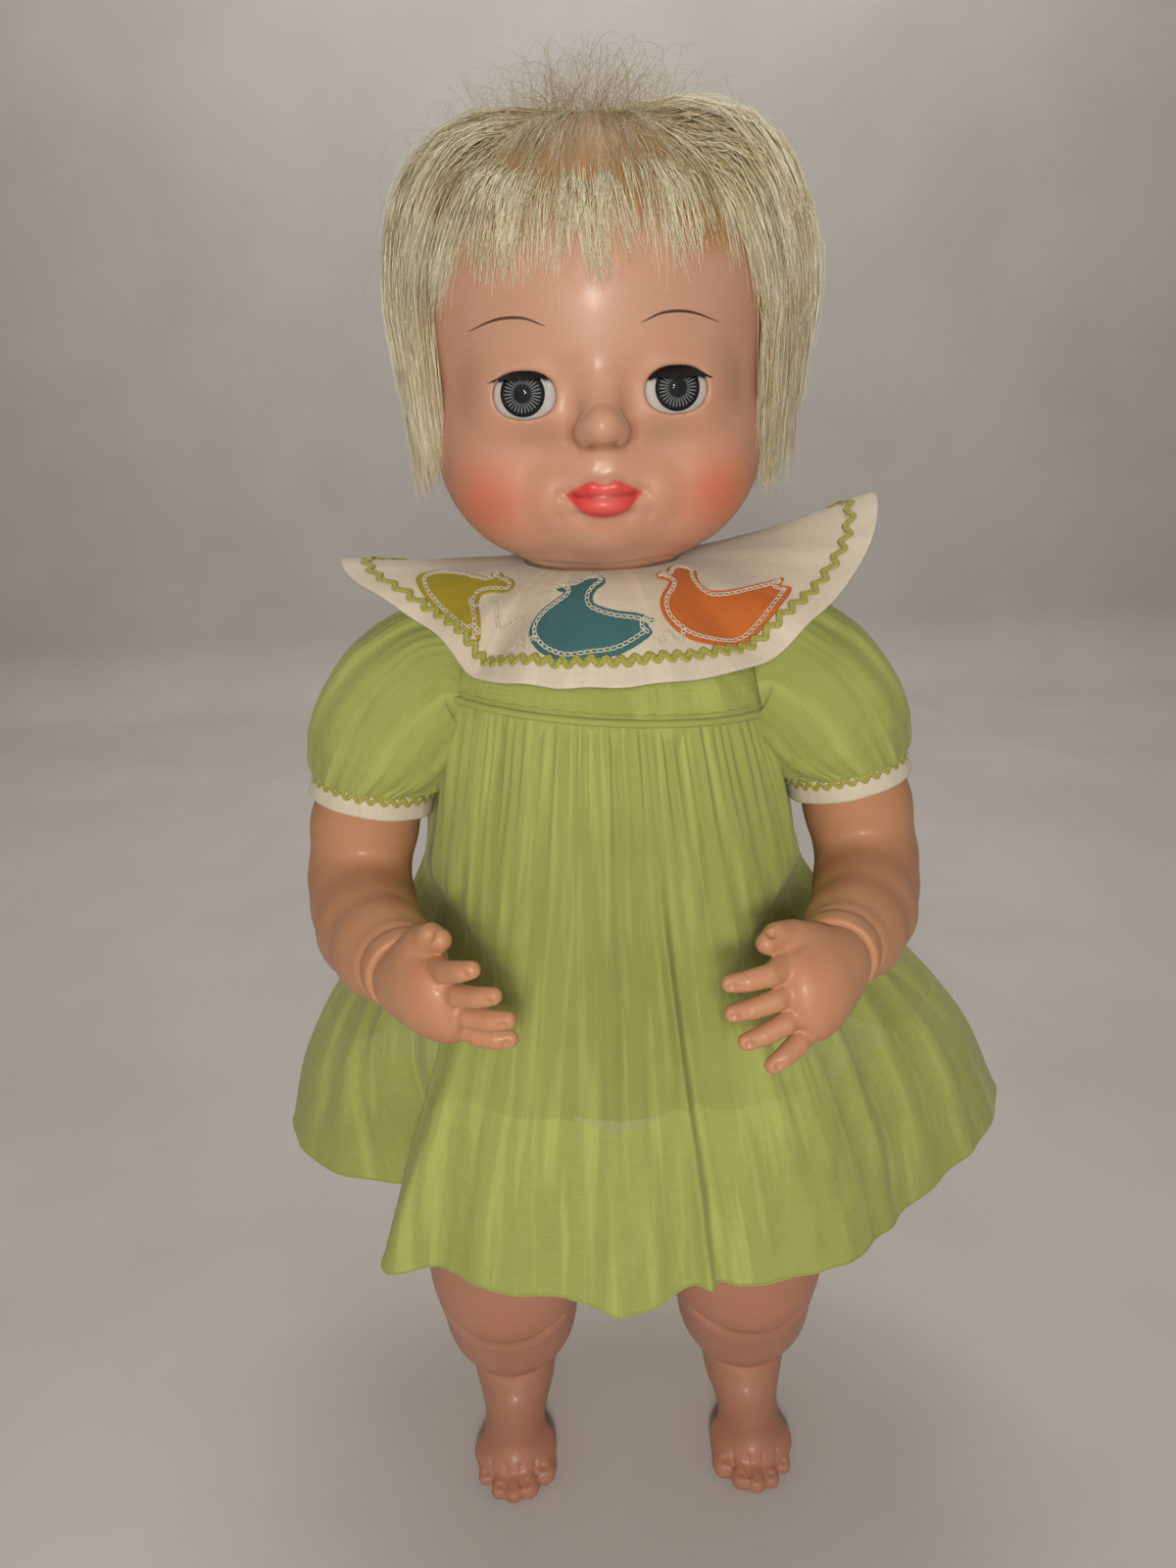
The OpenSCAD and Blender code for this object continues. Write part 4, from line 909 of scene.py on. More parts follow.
def sculpt_hand(curl, splay):
    """A hand along +Z from the wrist, thumb on +X, back of the hand on +Y."""
    c = Clay((-24, -40, -2), (30, 18, 58), 0.55)
    c.chain([(0, 0, 0), (0, 0, 4)], [11.4, 11.8], 1)
    c.ball((0, -1.5, 14), (14.6, 10.6, 13.5), 6)
    c.ball((-1, -5, 23), (15.0, 8.6, 11.0), 6)
    c.ball((9, -6, 11), (7.5, 7.5, 9.5), 5)
    tips = []
    for i in range(4):
        x = 7.5 * (i - 1.5) * -1
        long = 21.8 - 1.9 * abs(i - 1.3) - (2.2 if i == 3 else 0)
        root = vec(x * 0.92, -7.0 - 0.5 * abs(i - 1.5), 24)
        angle = math.radians(curl[i])
        spread = math.radians(splay[i])
        points, radii = [root], [4.1]
        step = vec(math.sin(spread), 0, math.cos(spread))
        place = root
        for share, bend, r in ((0.44, 0.55, 3.6), (0.30, 1.25, 3.3), (0.22, 1.7, 2.7)):
            a = angle * bend
            way = unit(vec(step[0], -math.sin(a), step[2] * math.cos(a)))
            place = place + way * long * share * 1.25
            points.append(place)
            radii.append(r)
        c.chain(points, radii, 1.6)
        back = unit(vec(0, math.cos(angle * 1.6), math.sin(angle * 1.6)))
        tips.append((points[3], back, unit(points[3] - points[2]), 2.1))
    thumb = [vec(9, -4, 8), vec(15.5, -7.5, 14), vec(18.6, -10.5, 20.5), vec(19.2, -12.5, 26)]
    c.chain(thumb, [5.8, 5.3, 4.7, 3.4], 3.5)
    tips.append((thumb[3], unit(vec(0.75, 0.66, 0)), unit(thumb[3] - thumb[2]), 2.4))
    # the hollow of the palm and its crease
    c.ball((-1, -15.5, 17), (7, 3.5, 8), 4, cut=True)
    c.chain([(-11, -12.6, 22), (0, -13.6, 19), (7, -13.0, 23)], 0.5, 1.6, cut=True)
    # nails: shallow beds
    for tip, back, along, r in tips:
        c.ball(tip + back * (r + 1.7) - along * 0.2, (1.9, 1.9, 2.2), 0.6, cut=True)
    where, x, y, z = c.part((-30, -50, -5), (40, 30, 60))
    c.d[where] = -join(-c.d[where], (z - 0.4) + 0 * x + 0 * y, 0.8)
    return c.mesh()


def flesh(points, base, blush, spots, reach):
    """The vinyl's colour, a little redder at the given spots."""
    colour = np.tile(vec(*base), (len(points), 1))
    for spot in spots:
        share = np.exp(-(np.linalg.norm(points - spot, axis=1) / reach) ** 2)[:, None]
        colour = colour + 0.45 * share * (vec(*blush) - colour)
    return colour


arm_points, arm_faces = sculpt_arm()
arm_points = relax(arm_points, arm_faces)
arm_turn = np.stack([unit(np.cross(np.cross(FOREARM, (0, 0, 1)), FOREARM)),
                     np.cross(FOREARM, unit(np.cross(np.cross(FOREARM, (0, 0, 1)), FOREARM))), FOREARM], 1)
HANDS = {"left": (-18, (44, 46, 42, 30), (8, 2, -4, -12)), "right": (16, (20, 26, 31, 36), (13, 4, -5, -15))}
for label, side in (("left", 1), ("right", -1)):
    flip = vec(side, 1, 1)
    faces = arm_faces if side > 0 else arm_faces[:, ::-1]
    tint = flesh(arm_points, LIMB, (0.56, 0.20, 0.10), [ELBOW + (14, 8, -8)], 16)
    piece("arm_" + label + "_vinyl", arm_points * flip, faces, arm_vinyl, "arm_" + label, ("arm_" + label,),
          "limb_vinyl", tint=tint)
    turn, curl, splay = HANDS[label]
    hand_points, hand_faces = sculpt_hand(curl, splay)
    hand_points = relax(hand_points, hand_faces, 1)
    knuckles = flesh(hand_points, LIMB, (0.56, 0.19, 0.10), [vec(x, -2, 26) for x in (-11, -4, 4, 11)], 5)
    a = math.radians(turn)
    spun = hand_points @ np.array([[math.cos(a), math.sin(a), 0], [-math.sin(a), math.cos(a), 0], [0, 0, 1]])
    placed = (spun * vec(1, -1, 1)) @ arm_turn.T + WRIST
    faces = hand_faces[:, ::-1] if side > 0 else hand_faces
    piece("hand_" + label + "_vinyl", placed * flip, faces, arm_vinyl, "hand_" + label, ("hand_" + label,),
          "limb_vinyl", tint=knuckles)


# ---- legs ------------------------------------------------------------------------------------------

HIP = vec(40, 2, 203)
HIP_AXIS = vec(math.cos(math.radians(28)), 0, -math.sin(math.radians(28)))


def sculpt_leg():
    c = Clay((14, -58, -2), (92, 42, 240), 0.9)
    c.chain([(41, 1, 204), (51, 0, 168)], [33.5, 34.6], 2)
    c.chain([(51, 0, 168), (53, -1, 135), (53, -2, 112)], [34.6, 34.6, 33.4], 6)
    c.ball((53, -3, 94), (33.8, 33.8, 26), 12)
    c.ball((53, -13, 86), (24, 22, 18), 14)
    c.ball((53.6, 1, 66), (30.0, 30.0, 27), 14)
    c.chain([(54, 4, 52), (54, 5, 34)], [21.8, 18.6], 14)
    c.ball((54, 9, 14), (15.5, 16.5, 13.8), 9)
    c.chain([(54, 0, 24), (54, -14, 15.5), (54, -30, 10.5)], [15.5, 13.5, 10.0], 9)
    c.ball((54, -28, 8.5), (18.4, 15.0, 8.4), 6)
    toes = []
    for i, r in enumerate((5.7, 4.7, 4.4, 4.1, 3.7)):
        x = 6.4 * (i - 2) - 0.4
        y = -13 - 34.0 * math.sqrt(1 - (x / 19) ** 2)
        toes.append((x, y, r))
        c.chain([(54 + x * 0.93, y + 15, 8.6), (54 + x * 0.98, y + 6, 7.0), (54 + x, y - 0.8, 5.7)],
                [r, r * 0.9, r * 0.98], 1.8)
    for (x0, y0, _), (x1, y1, _) in zip(toes[:-1], toes[1:]):
        x, y = 54 + (x0 + x1) / 2 + 0.3, (y0 + y1) / 2
        c.chain([(x, y + 7.5, 14.2), (x, y + 0.5, 11.0), (x, y - 3.2, 6)], [0.2, 0.4, 0.4], 1.4, cut=True)
    for x, y, r in toes:
        c.ball((54 + x, y - r * 0.62, 5.6 + r * 0.86), (r * 0.46, r * 0.48, 0.55), 0.5, cut=True)
    # the fold under the kneecap, the ankle crease and the fold behind the knee
    c.chain([(31, -24, 81), (42, -35.0, 76.5), (54, -38.0, 75), (66, -35.0, 76.5), (77, -24, 81)],
            [0.1, 0.2, 0.3, 0.2, 0.1], 7, cut=True)
    c.chain([(36, -4, 40), (43, -13, 38.5), (54, -17, 37.5), (65, -13, 38.5), (72, -4, 40)],
            [0.3, 0.8, 1.0, 0.8, 0.3], 5, cut=True)
    c.chain([(30, 22, 100), (53, 33, 99), (76, 22, 100)], [0.4, 1.2, 0.4], 6, cut=True)
    where, x, y, z = c.part((0, -80, -5), (110, 60, 250))
    c.d[where] = -join(-c.d[where], (z - 0.0) + 0 * x + 0 * y, 1.0)
    plane = (x - HIP[0]) * HIP_AXIS[0] + (z - HIP[2]) * HIP_AXIS[2] - 0.5 + 0 * y
    c.d[where] = -join(-c.d[where], plane, 2.0)
    rim = np.sqrt((y - HIP[1]) ** 2 + ((x - HIP[0]) * HIP_AXIS[2] - (z - HIP[2]) * HIP_AXIS[0]) ** 2) - 33.0
    near = np.maximum(rim, plane - 6)
    c.d[where] = np.where(plane < 6, np.maximum(c.d[where], rim), c.d[where])
    return c.mesh()


leg_points, leg_faces = sculpt_leg()
leg_points = relax(leg_points, leg_faces)
leg_tint = flesh(leg_points, LEG, (0.50, 0.17, 0.10),
                 [vec(53, -30, 92), vec(54, 6, 36), vec(54, -40, 6)], 20)
for label, side in (("left", 1), ("right", -1)):
    faces = leg_faces if side > 0 else leg_faces[:, ::-1]
    piece("leg_" + label + "_vinyl", leg_points * vec(side, 1, 1), faces, leg_vinyl, "leg_" + label,
          ("leg_" + label,), "limb_vinyl", tint=leg_tint)


# ---- dress -----------------------------------------------------------------------------------------

class Folds:
    """Uneven folds along one coordinate: waves of random places and sizes, about one in each step."""

    def __init__(self, low, high, step):
        count = int((high - low) / step) + 4
        self.at = low - step + step * (np.arange(count) + rng.uniform(-0.36, 0.36, count))
        self.size = rng.uniform(0.35, 1.0, count)
        self.width = step * rng.uniform(0.28, 0.5, count)

    def __call__(self, x):
        x = np.asarray(x, float)
        total = np.zeros_like(x)
        for at, size, width in zip(self.at, self.size, self.width):
            total += size * np.exp(-((x - at) / width) ** 2)
        return total - 0.5


def grid_normals(grid):
    return unit(np.cross(np.gradient(grid, axis=0), np.gradient(grid, axis=1)))


def slab(grid, thick, closed=False):
    """Two layers of a grid of points, with a rim; grid is (rows, columns, 3)."""
    if closed:
        wide = np.concatenate([grid[-1:], grid, grid[:1]], 0)
        normal = grid_normals(wide)[1:-1]
    else:
        normal = grid_normals(grid)
    rows, columns = grid.shape[:2]
    top, under = grid + normal * thick / 2, grid - normal * thick / 2
    faces = grid_faces(rows, columns, closed)
    n = rows * columns
    i = np.arange(n).reshape(rows, columns)
    if closed:
        i = np.vstack([i, i[:1]])
    rims = [np.stack([i[:-1, 0], i[:-1, 0] + n, i[1:, 0] + n, i[1:, 0]], -1),
            np.stack([i[:-1, -1], i[1:, -1], i[1:, -1] + n, i[:-1, -1] + n], -1)]
    if not closed:
        rims += [np.stack([i[0, :-1], i[0, 1:], i[0, 1:] + n, i[0, :-1] + n], -1),
                 np.stack([i[-1, :-1], i[-1, :-1] + n, i[-1, 1:] + n, i[-1, 1:]], -1)]
    points = np.concatenate([top.reshape(-1, 3), under.reshape(-1, 3)])
    return points, np.vstack([faces, faces[:, ::-1] + n] + rims)


def sweep(path, radii, ref, turns):
    """Rings round a path: (turns, steps, 3), and the outward direction at each point."""
    t = unit(np.gradient(path, axis=0))
    u = unit(ref - (t @ ref)[:, None] * t)
    v = np.cross(t, u)
    a = (2 * math.pi * np.arange(turns) / turns)[:, None, None]
    out = np.cos(a) * u + np.sin(a) * v
    return path + radii[None, :, None] * out, out


def waist_line(x):
    """The height of the seam under the yoke: it sits a little higher at the doll's right."""
    return 358.0 - 0.09 * np.asarray(x)


CUFF_DOWN = unit(ELBOW - CUFF)

# The skirt. way is the angle round from the front, towards the doll's left, in degrees.
HEM_WAY = [-180, -150, -125, -105, -92, -84, -76, -69, -62, -56, -51, -45, -35, -20, -8, 0, 12, 23, 35,
           44, 55,
           72, 85, 94, 105, 120, 150, 180]
HEM_R = [118, 127, 146, 151, 141, 128, 104, 84, 86, 109, 117, 108, 104, 99, 98, 102, 98, 103, 107, 116, 119,
         134, 155, 164, 156, 145, 127, 118]
HEM_Z = [158, 158, 160, 162, 157, 155, 156, 158, 158, 157, 155, 158, 159, 158, 157, 155, 159, 158, 158,
         159, 158,
         162, 166, 169, 166, 162, 159, 158]
FRONT_FALL = ([0, 0.11, 0.26, 0.43, 0.59, 0.76, 1.0], [0, 0.09, 0.23, 0.39, 0.57, 0.78, 1.0])
SIDE_FALL = ([0, 0.11, 0.26, 0.43, 0.5, 0.6, 0.77, 1.0], [0, 0.10, 0.17, 0.23, 0.35, 0.57, 0.82, 1.0])
BACK_FALL = ([0, 0.11, 0.26, 0.43, 0.6, 0.8, 1.0], [0, 0.10, 0.28, 0.47, 0.66, 0.85, 1.0])
fine_folds = Folds(-190, 190, 3.1)
soft_folds = Folds(-190, 190, 7.5)
broad_folds = Folds(-190, 190, 24.0)
hem_ripple = Folds(-190, 190, 19.0)
crumple = [Folds(-190, 190, 9.0), Folds(-0.2, 1.2, 0.16)]


def swung(point, lowered, pressed):
    """A point of the left arm with the arm lowered, and then pressed inwards, by angles in degrees."""
    c, s = math.cos(math.radians(lowered)), math.sin(math.radians(lowered))
    x, y, z = point - SHOULDER
    y, z = y * c - z * s, z * c + y * s
    c, s = math.cos(math.radians(pressed)), math.sin(math.radians(pressed))
    return SHOULDER + vec(x * c + y * s, y * c - x * s, z)


# the skirt is first pushed in and smoothed in small steps, and then pushed clear of the arms
SOFT_STEPS, FIRM_STEPS = 14, 10
# how far down and how far inwards the arms swing, and half the thickness of an arm and its room
ARM_SWINGS = ((0, 0), (6, 0), (12, 0), (18, 0), (0, 12), (0, 6), (10, 12), (18, 12))
ARM_ROOM = [19, 26.5, 26.5, 23.6, 23.2, 22.6, 20.6, 17, 16]


def arm_dent(r, a, z):
    """How far in the skirt is held by the arms, all the way through their swing."""
    hand_end = WRIST + 40 * FOREARM
    dent = np.zeros_like(r)
    for step in range(SOFT_STEPS + FIRM_STEPS):
        x, y = np.abs((r - dent) * np.sin(a)), -(r - dent) * np.cos(a)
        room = np.full_like(r, 99.0)
        for lowered, pressed in ARM_SWINGS:
            chain = [swung(q, lowered, pressed)
                     for q in (SHOULDER, CUFF, CUFF + 10 * CUFF_DOWN, ELBOW, *(ELBOW + vec(*q) for q in (
                         (-5, -16, -1), (-10, -34, -2), (-18, -54, 0))), WRIST, hand_end)]
            room = np.minimum(room, limb(x, y, z, chain, ARM_ROOM))
        if step >= SOFT_STEPS:
            dent += np.maximum(-room, 0) * between(z + 0 * r, 356, 346)
            continue
        dent += 0.7 * np.maximum(-room, 0)
        wide = np.pad(dent, 2, mode="edge")
        n, m = dent.shape
        spread = sum(wide[i:i + n, 2:2 + m] + wide[2:2 + n, i:i + m] for i in range(5)) / 10
        dent = 0.5 * dent + 0.5 * spread
        dent[:, :3] = 0
    dent *= between(np.abs(np.sin(a)), 0.02, 0.2)
    return dent


def skirt_grid(low, high, columns, rows=170):
    way = np.linspace(low, high, columns)[:, None]
    h = np.linspace(0, 1, rows)[None, :]
    a = np.radians(way)
    top = 1 / np.sqrt((np.sin(a) / 64.6) ** 2 + (np.cos(a) / 45.8) ** 2)
    # the sharp fold at the front's right edge leans in towards the waist
    lean = 17.0 * (1 - h) * np.exp(-((way + 55) / 30) ** 2)
    hem = curve(way - lean, HEM_WAY, HEM_R)
    hem_z = curve(way, HEM_WAY, HEM_Z) + 2.2 * hem_ripple(way)
    smoothed = np.interp(way, [-180, -105, -51, 0, 44, 94, 180], [118, 150, 108, 100, 108, 152, 118])
    deep = between(h, 0.35, 1.0)
    hem = smoothed + (hem - smoothed) * deep
    side = np.abs(way)
    to_side = between(side, 35, 78) * (1 - between(side, 100, 128))
    to_back = between(side, 100, 128)
    fall = ((1 - to_side - to_back) * curve(h, *FRONT_FALL) + to_side * curve(h, *SIDE_FALL)
            + to_back * curve(h, *BACK_FALL))
    r = top + (hem - top) * fall
    arm_side = to_side * (1 - between(h, 0.42, 0.62))
    fine = 1.5 * (1 - between(h, 0.03, 0.30)) * between(h, -0.01, 0.035)
    wander = 1.2 * np.sin(h * 3.0 + way * 0.05)
    r = r + fine * fine_folds(way + 0.5 * wander)
    r = r + (1.1 + 0.7 * between(h, 0.05, 0.6)) * (1 - 0.7 * arm_side) * soft_folds(way + wander)
    r = r + 5.0 * between(h, 0.1, 0.9) * (1 - 0.8 * arm_side) * broad_folds(way + 1.5 * wander)
    r = r + 3.4 * between(h, 0.06, 0.3) * crumple[0](way + 20 * h) * crumple[1](h + 0.003 * way)
    # a crease that stands out down the front
    crease = np.exp(-((way - 13 - 3.5 * h) / 1.4) ** 2) - 0.8 * np.exp(-((way - 16.6 - 3.5 * h) / 2.0) ** 2)
    r = r + 3.4 * between(h, 0.18, 0.55) * crease
    z = waist_line(r * np.sin(a) * (1 - h) ** 2) * (1 - h) + hem_z * h
    r = r - arm_dent(r, a, z)
    x, y = r * np.sin(a), -r * np.cos(a)
    # cloth under the gathers bellies out a little, then hangs
    z = z - 3.0 * np.sin(math.pi * h) * to_back
    grid = np.stack([x, y, z + 0 * r], -1)
    lengths = np.linalg.norm(np.diff(grid, axis=1), axis=-1)
    v = np.concatenate([np.zeros((columns, 1)), np.cumsum(lengths, 1)], 1)
    u = np.radians(way) * 165 + 0 * h
    return grid, np.stack([u, v, 0 * u], -1), way + 0 * h, h + 0 * way


HEM_DEEP = 66.0


def skirt_part(name, low, high, columns, side=None, replaces=()):
    grid, thread, way, h = skirt_grid(low, high, columns)
    up_from_hem = thread[:, -1:, 1] - thread[..., 1]
    hem_layer = 1 - between(up_from_hem, HEM_DEEP - 0.7, HEM_DEEP + 0.7)
    seams = np.exp(-(up_from_hem / 0.8) ** 2) + 0.7 * np.exp(-((up_from_hem - HEM_DEEP) / 0.8) ** 2)
    gathers = 0.10 * (1 - between(h, 0.0, 0.3))
    sheer = 0.13 * np.exp(-(way / 26) ** 2) * between(h, 0.05, 0.25) * (1 - hem_layer)
    dense = (0.13 * hem_layer + 0.25 * seams + gathers - sheer).ravel()
    points, faces = grid.reshape(-1, 3), grid_faces(*grid.shape[:2])
    part = piece(name, points, faces, batiste, None if side else "torso", replaces, "dress_batiste",
                 thread=thread.reshape(-1, 3), dense=dense)
    # the folded edge and the hem stitches
    edge = grid[:, -1]
    rolled = [tubes(edge[None], 0.42, 5, 1.0, (0, 0, 1))]
    normal = grid_normals(grid)
    ticks = []
    for column in range(6, columns - 6, max(4, int(columns / (high - low) * 1.55))):
        row = int(np.argmin(np.abs(up_from_hem[column] - HEM_DEEP + rng.uniform(0.4, 1.6))))
        tick = grid[column:column + 2, row] + normal[column:column + 2, row] * 0.30
        middle = tick.mean(0)
        along = unit(tick[1] - tick[0]) + rng.normal(0, 0.25, 3)
        ticks.append([middle - 0.55 * along, middle, middle + 0.55 * along])
    stitches, stitch_faces = tubes(np.array(ticks), 0.30, 4)
    trim_points, trim_faces = merge(rolled)
    trim = piece(name + "_edge", trim_points, trim_faces, batiste_edge, None if side else "torso", (),
                 "dress_batiste")
    thread_piece = piece(name + "_stitches", stitches, stitch_faces, stitch_thread,
                         None if side else "torso", (),
                         "dress_batiste")
    if side:
        for thing, at in ((part, points), (trim, trim_points), (thread_piece, stitches)):
            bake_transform(thing)
    return grid


batiste_edge = cloth("lime_batiste_edge", LIME, LIME_DARK, pitch=0.7)
stitch_thread = yarn("stitch_thread", (0.62, 0.64, 0.30), (0.30, 0.32, 0.09), 3.0)

# yoke and bodice, under the collar
YOKE_Z = [346, 352, 358, 366, 372, 379, 385, 391]
YOKE_W = [63.6, 64.2, 64.6, 64.0, 60.0, 52.4, 42.0, 32.5]
YOKE_D = [47.0, 46.6, 45.8, 43.6, 41.0, 37.4, 34.0, 31.6]
way = np.radians(np.linspace(-180, 180, 361))[:, None]
rise = np.linspace(0, 1, 60)[None, :]
yoke_z = 350 + 41 * rise
x = curve(yoke_z, YOKE_Z, YOKE_W) * np.sin(way)
y = -curve(yoke_z, YOKE_Z, YOKE_D) * np.cos(way)
pucker = Folds(-190, 190, 6.0)
bulge = 0.5 * pucker(np.degrees(way)) * (1 - between(rise, 0.1,
                                                     0.5)) + 0.4 * crumple[0](np.degrees(way) + 30 * rise)
z = yoke_z + (waist_line(x) - 358) * (1 - rise)
yoke = np.stack([x + bulge * np.sin(way), y - bulge * np.cos(way), z], -1)
yoke_thread = np.stack([way * 56 + 0 * rise, yoke_z + 0 * way, 0 * x], -1).reshape(-1, 3)
yoke_points, yoke_faces = yoke.reshape(-1, 3), grid_faces(361, 60)
yoke_piece = piece("bodice_cloth", yoke_points, yoke_faces, batiste_lined, "torso", ("bodice",),
                   "dress_batiste",
                   thread=yoke_thread)

# corded piping over the seam, with a row of stitches above it
turn = np.radians(np.linspace(0, 360, 241)[:-1])
seam = np.stack([65.3 * np.sin(turn), -46.6 * np.cos(turn), waist_line(65.3 * np.sin(turn)) + 0.6], -1)
cord_points, cord_faces = tubes(seam[None], 1.45, 10, 1.0, (0, 0, 1), closed=True)
lip = np.stack([64.9 * np.sin(turn), -46.2 * np.cos(turn), waist_line(65.3 * np.sin(turn)) + 3.4], -1)
lip_points, lip_faces = tubes(lip[None], (0.32 + 0.22 * np.sin(turn * 190))[None], 6, 1.0, (0, 0, 1),
                              closed=True)
piece("waist_seam", *merge([(cord_points, cord_faces), (lip_points, lip_faces)]), batiste_edge, "torso",
               ("waist_piping",), "dress_batiste")

skirt_part("skirt_front_left", 0, 90, 420, 1, ("skirt_front",))
skirt_part("skirt_front_right", -90, 0, 420, -1)
skirt_part("skirt_back_left", 90, 180, 300, None, ("skirt_back",))
back_b = skirt_part("skirt_back_right", -180, -90, 300)

# a frayed end of hem thread at the doll's right
fray_at = back_b[-40:, -1]
fray = []
for _ in range(26):
    start = fray_at[rng.integers(0, 40)]
    drop = rng.uniform(1.0, 5.0)
    fray.append(start + np.linspace(0, 1, 6)[:, None] * vec(rng.normal(0, 1.5), rng.normal(0, 1.0), -drop)
                + np.sin(np.linspace(0, 4, 6))[:, None] * rng.normal(0, 0.5, 3))
piece("hem_fray", *tubes(np.array(fray), 0.13, 3), yarn("fray_thread", (0.78, 0.77, 0.66), (0.52, 0.50,
        0.36), 3.0),
      "torso", (), "dress_batiste")


# ---- sleeves and cuffs ---------------------------------------------------------------------------

SLEEVE_T = [0.0, 0.14, 0.30, 0.5, 0.68, 0.83, 0.93, 1.0]
SLEEVE_X = np.array([(58, 1, 362), (64, 0, 363), (71, -2, 358), (78, -4, 350), (83.5, -6, 342.5),
                     (87, -7.5, 336),
                     (88.6, -8, 332), tuple(CUFF + 1.6 * CUFF_DOWN)], float)
SLEEVE_R = [27.5, 29.5, 31.0, 31.3, 30.4, 28.2, 25.2, 22.6]
rickrack_yarn = yarn("rickrack_yarn", CHARTREUSE, CHARTREUSE_DARK, 1.6)


def sleeve_cloth():
    t = np.linspace(0, 1, 96)
    path = curve(t, SLEEVE_T, SLEEVE_X)
    radii = curve(t, SLEEVE_T, SLEEVE_R)
    grid, out = sweep(path, radii, vec(0.4, 0, 1), 400)
    a = np.degrees(2 * math.pi * np.arange(400) / 400)[:, None]
    a = np.where(a > 180, a - 360, a)
    at_edge = between(np.abs(a), 180, 165)
    t = t[None, :]
    ends, hang, bag = Folds(-190, 190, 8.0), Folds(-190, 190, 17.0), Folds(-190, 190, 44.0)
    top = np.exp(-(a / 75) ** 2)
    push = (1.5 * ends(a) * between(t, 0.70, 0.97) * (1 - between(t, 0.985, 1.0))
            + 1.3 * ends(a + 60) * top * (1 - between(t, 0.10, 0.40)) * between(t, 0.0, 0.06)
            + 1.7 * hang(a + 10 * t) * np.sin(math.pi * t) ** 0.7 + 2.0 * bag(a - 20 * t) * np.sin(math.pi * t))
    grid = grid + (push * at_edge)[..., None] * out
    v = np.concatenate([[0], np.cumsum(np.linalg.norm(np.diff(path, axis=0), axis=1))]) * 1.15
    thread = np.stack([np.radians(a) * 36 + 0 * t, v[None, :] + 0 * a, 0 * a + 0 * t], -1)
    return grid, thread


def zigzag(ring, normal, along, waves, sway, width, thick):
    """Rickrack along a closed ring of points: a flat braid that sways across it."""
    n = len(ring)
    phase = 2 * math.pi * waves * np.arange(n) / n
    shift = sway * np.arcsin(np.sin(phase) * 0.96) / 1.25
    path = ring + shift[:, None] * along
    tangent = unit(np.roll(path, -1, 0) - np.roll(path, 1, 0))
    across = unit(np.cross(normal, tangent))
    corners = [(-1, 0), (-0.55, 0.8), (0, 0.45), (0.55, 0.8), (1, 0), (0, -0.5)]
    rings = np.stack([path + c * width / 2 * across + d * thick * normal for c, d in corners], 1)
    i = np.arange(n * 6).reshape(n, 6)
    i = np.vstack([i, i[:1]])
    j = np.concatenate([i, i[:, :1]], 1)
    faces = np.stack([j[:-1, :-1], j[:-1, 1:], j[1:, 1:], j[1:, :-1]], -1).reshape(-1, 4)
    return rings.reshape(-1, 3), faces


sleeve_grid, sleeve_thread = sleeve_cloth()
sleeve_points, sleeve_faces = sleeve_grid.reshape(-1, 3), grid_faces(400, 96, closed=True)
cuff_u = unit(np.cross(CUFF_DOWN, (0, 1, 0)))
cuff_v = np.cross(CUFF_DOWN, cuff_u)
turn = 2 * math.pi * np.arange(480) / 480
round_cuff = np.cos(turn)[:, None] * cuff_u + np.sin(turn)[:, None] * cuff_v
drop = np.linspace(0.2, 9.4, 12)
spread = 22.5 + 0.09 * drop[None, :] + 0.22 * np.sin(turn * 7 + 1)[:, None] * drop[None, :] / 9
cuff_grid = CUFF + drop[None, :, None] * CUFF_DOWN + spread[..., None] * round_cuff[:, None, :]
cuff_points, cuff_faces = slab(cuff_grid, 0.9, closed=True)
cuff_thread = np.stack([np.repeat(turn * 22, 12), np.tile(drop, 480), np.zeros(5760)], -1)
cuff_thread = np.vstack([cuff_thread, cuff_thread])
braid_ring = CUFF + 2.4 * CUFF_DOWN + 23.2 * round_cuff
braid_points, braid_faces = zigzag(braid_ring, round_cuff, np.broadcast_to(CUFF_DOWN, round_cuff.shape),
                                   31, 1.25,
                                   1.9, 0.45)
for label, side in (("left", 1), ("right", -1)):
    flip = vec(side, 1, 1)

    def turned(faces, side=side):
        return faces if side > 0 else faces[:, ::-1]
    body = "arm_" + label
    braid = piece("cuff_rickrack_" + label, braid_points * flip, turned(braid_faces), rickrack_yarn,
                  body, (),
                  "rickrack_braid")
    cuff = piece("cuff_cloth_" + label, cuff_points * flip, turned(cuff_faces), cotton, body,
                 ("cuff_" + label,),
                 "collar_cotton", thread=cuff_thread)
    puff = piece("sleeve_cloth_" + label, sleeve_points * flip, turned(sleeve_faces), batiste, body,
                 ("sleeve_" + label,), "dress_batiste", thread=sleeve_thread.reshape(-1, 3),
                 dense=0.05 + 0 * sleeve_points[:, 0])


# ---- collar ------------------------------------------------------------------------------------

EDGE_WAY = [-180, -150, -120, -104, -92, -84, -74, -64, -54, -42, -28, -10, 8, 25, 40, 55, 70, 82, 92,
            102, 118,
            140, 180]
EDGE_R = [58, 64, 80, 92, 95, 91, 79, 70, 66, 66, 68, 68, 68, 69, 72, 79, 88, 96, 99, 93, 80, 66, 58]
EDGE_Z = [378, 384, 397, 406, 409, 405, 399, 392, 384, 379.5, 378, 377.5, 378, 378.5, 381, 388, 400,
          415, 424, 419,
          404, 389, 378]
waves = Folds(-200, 200, 22.0)


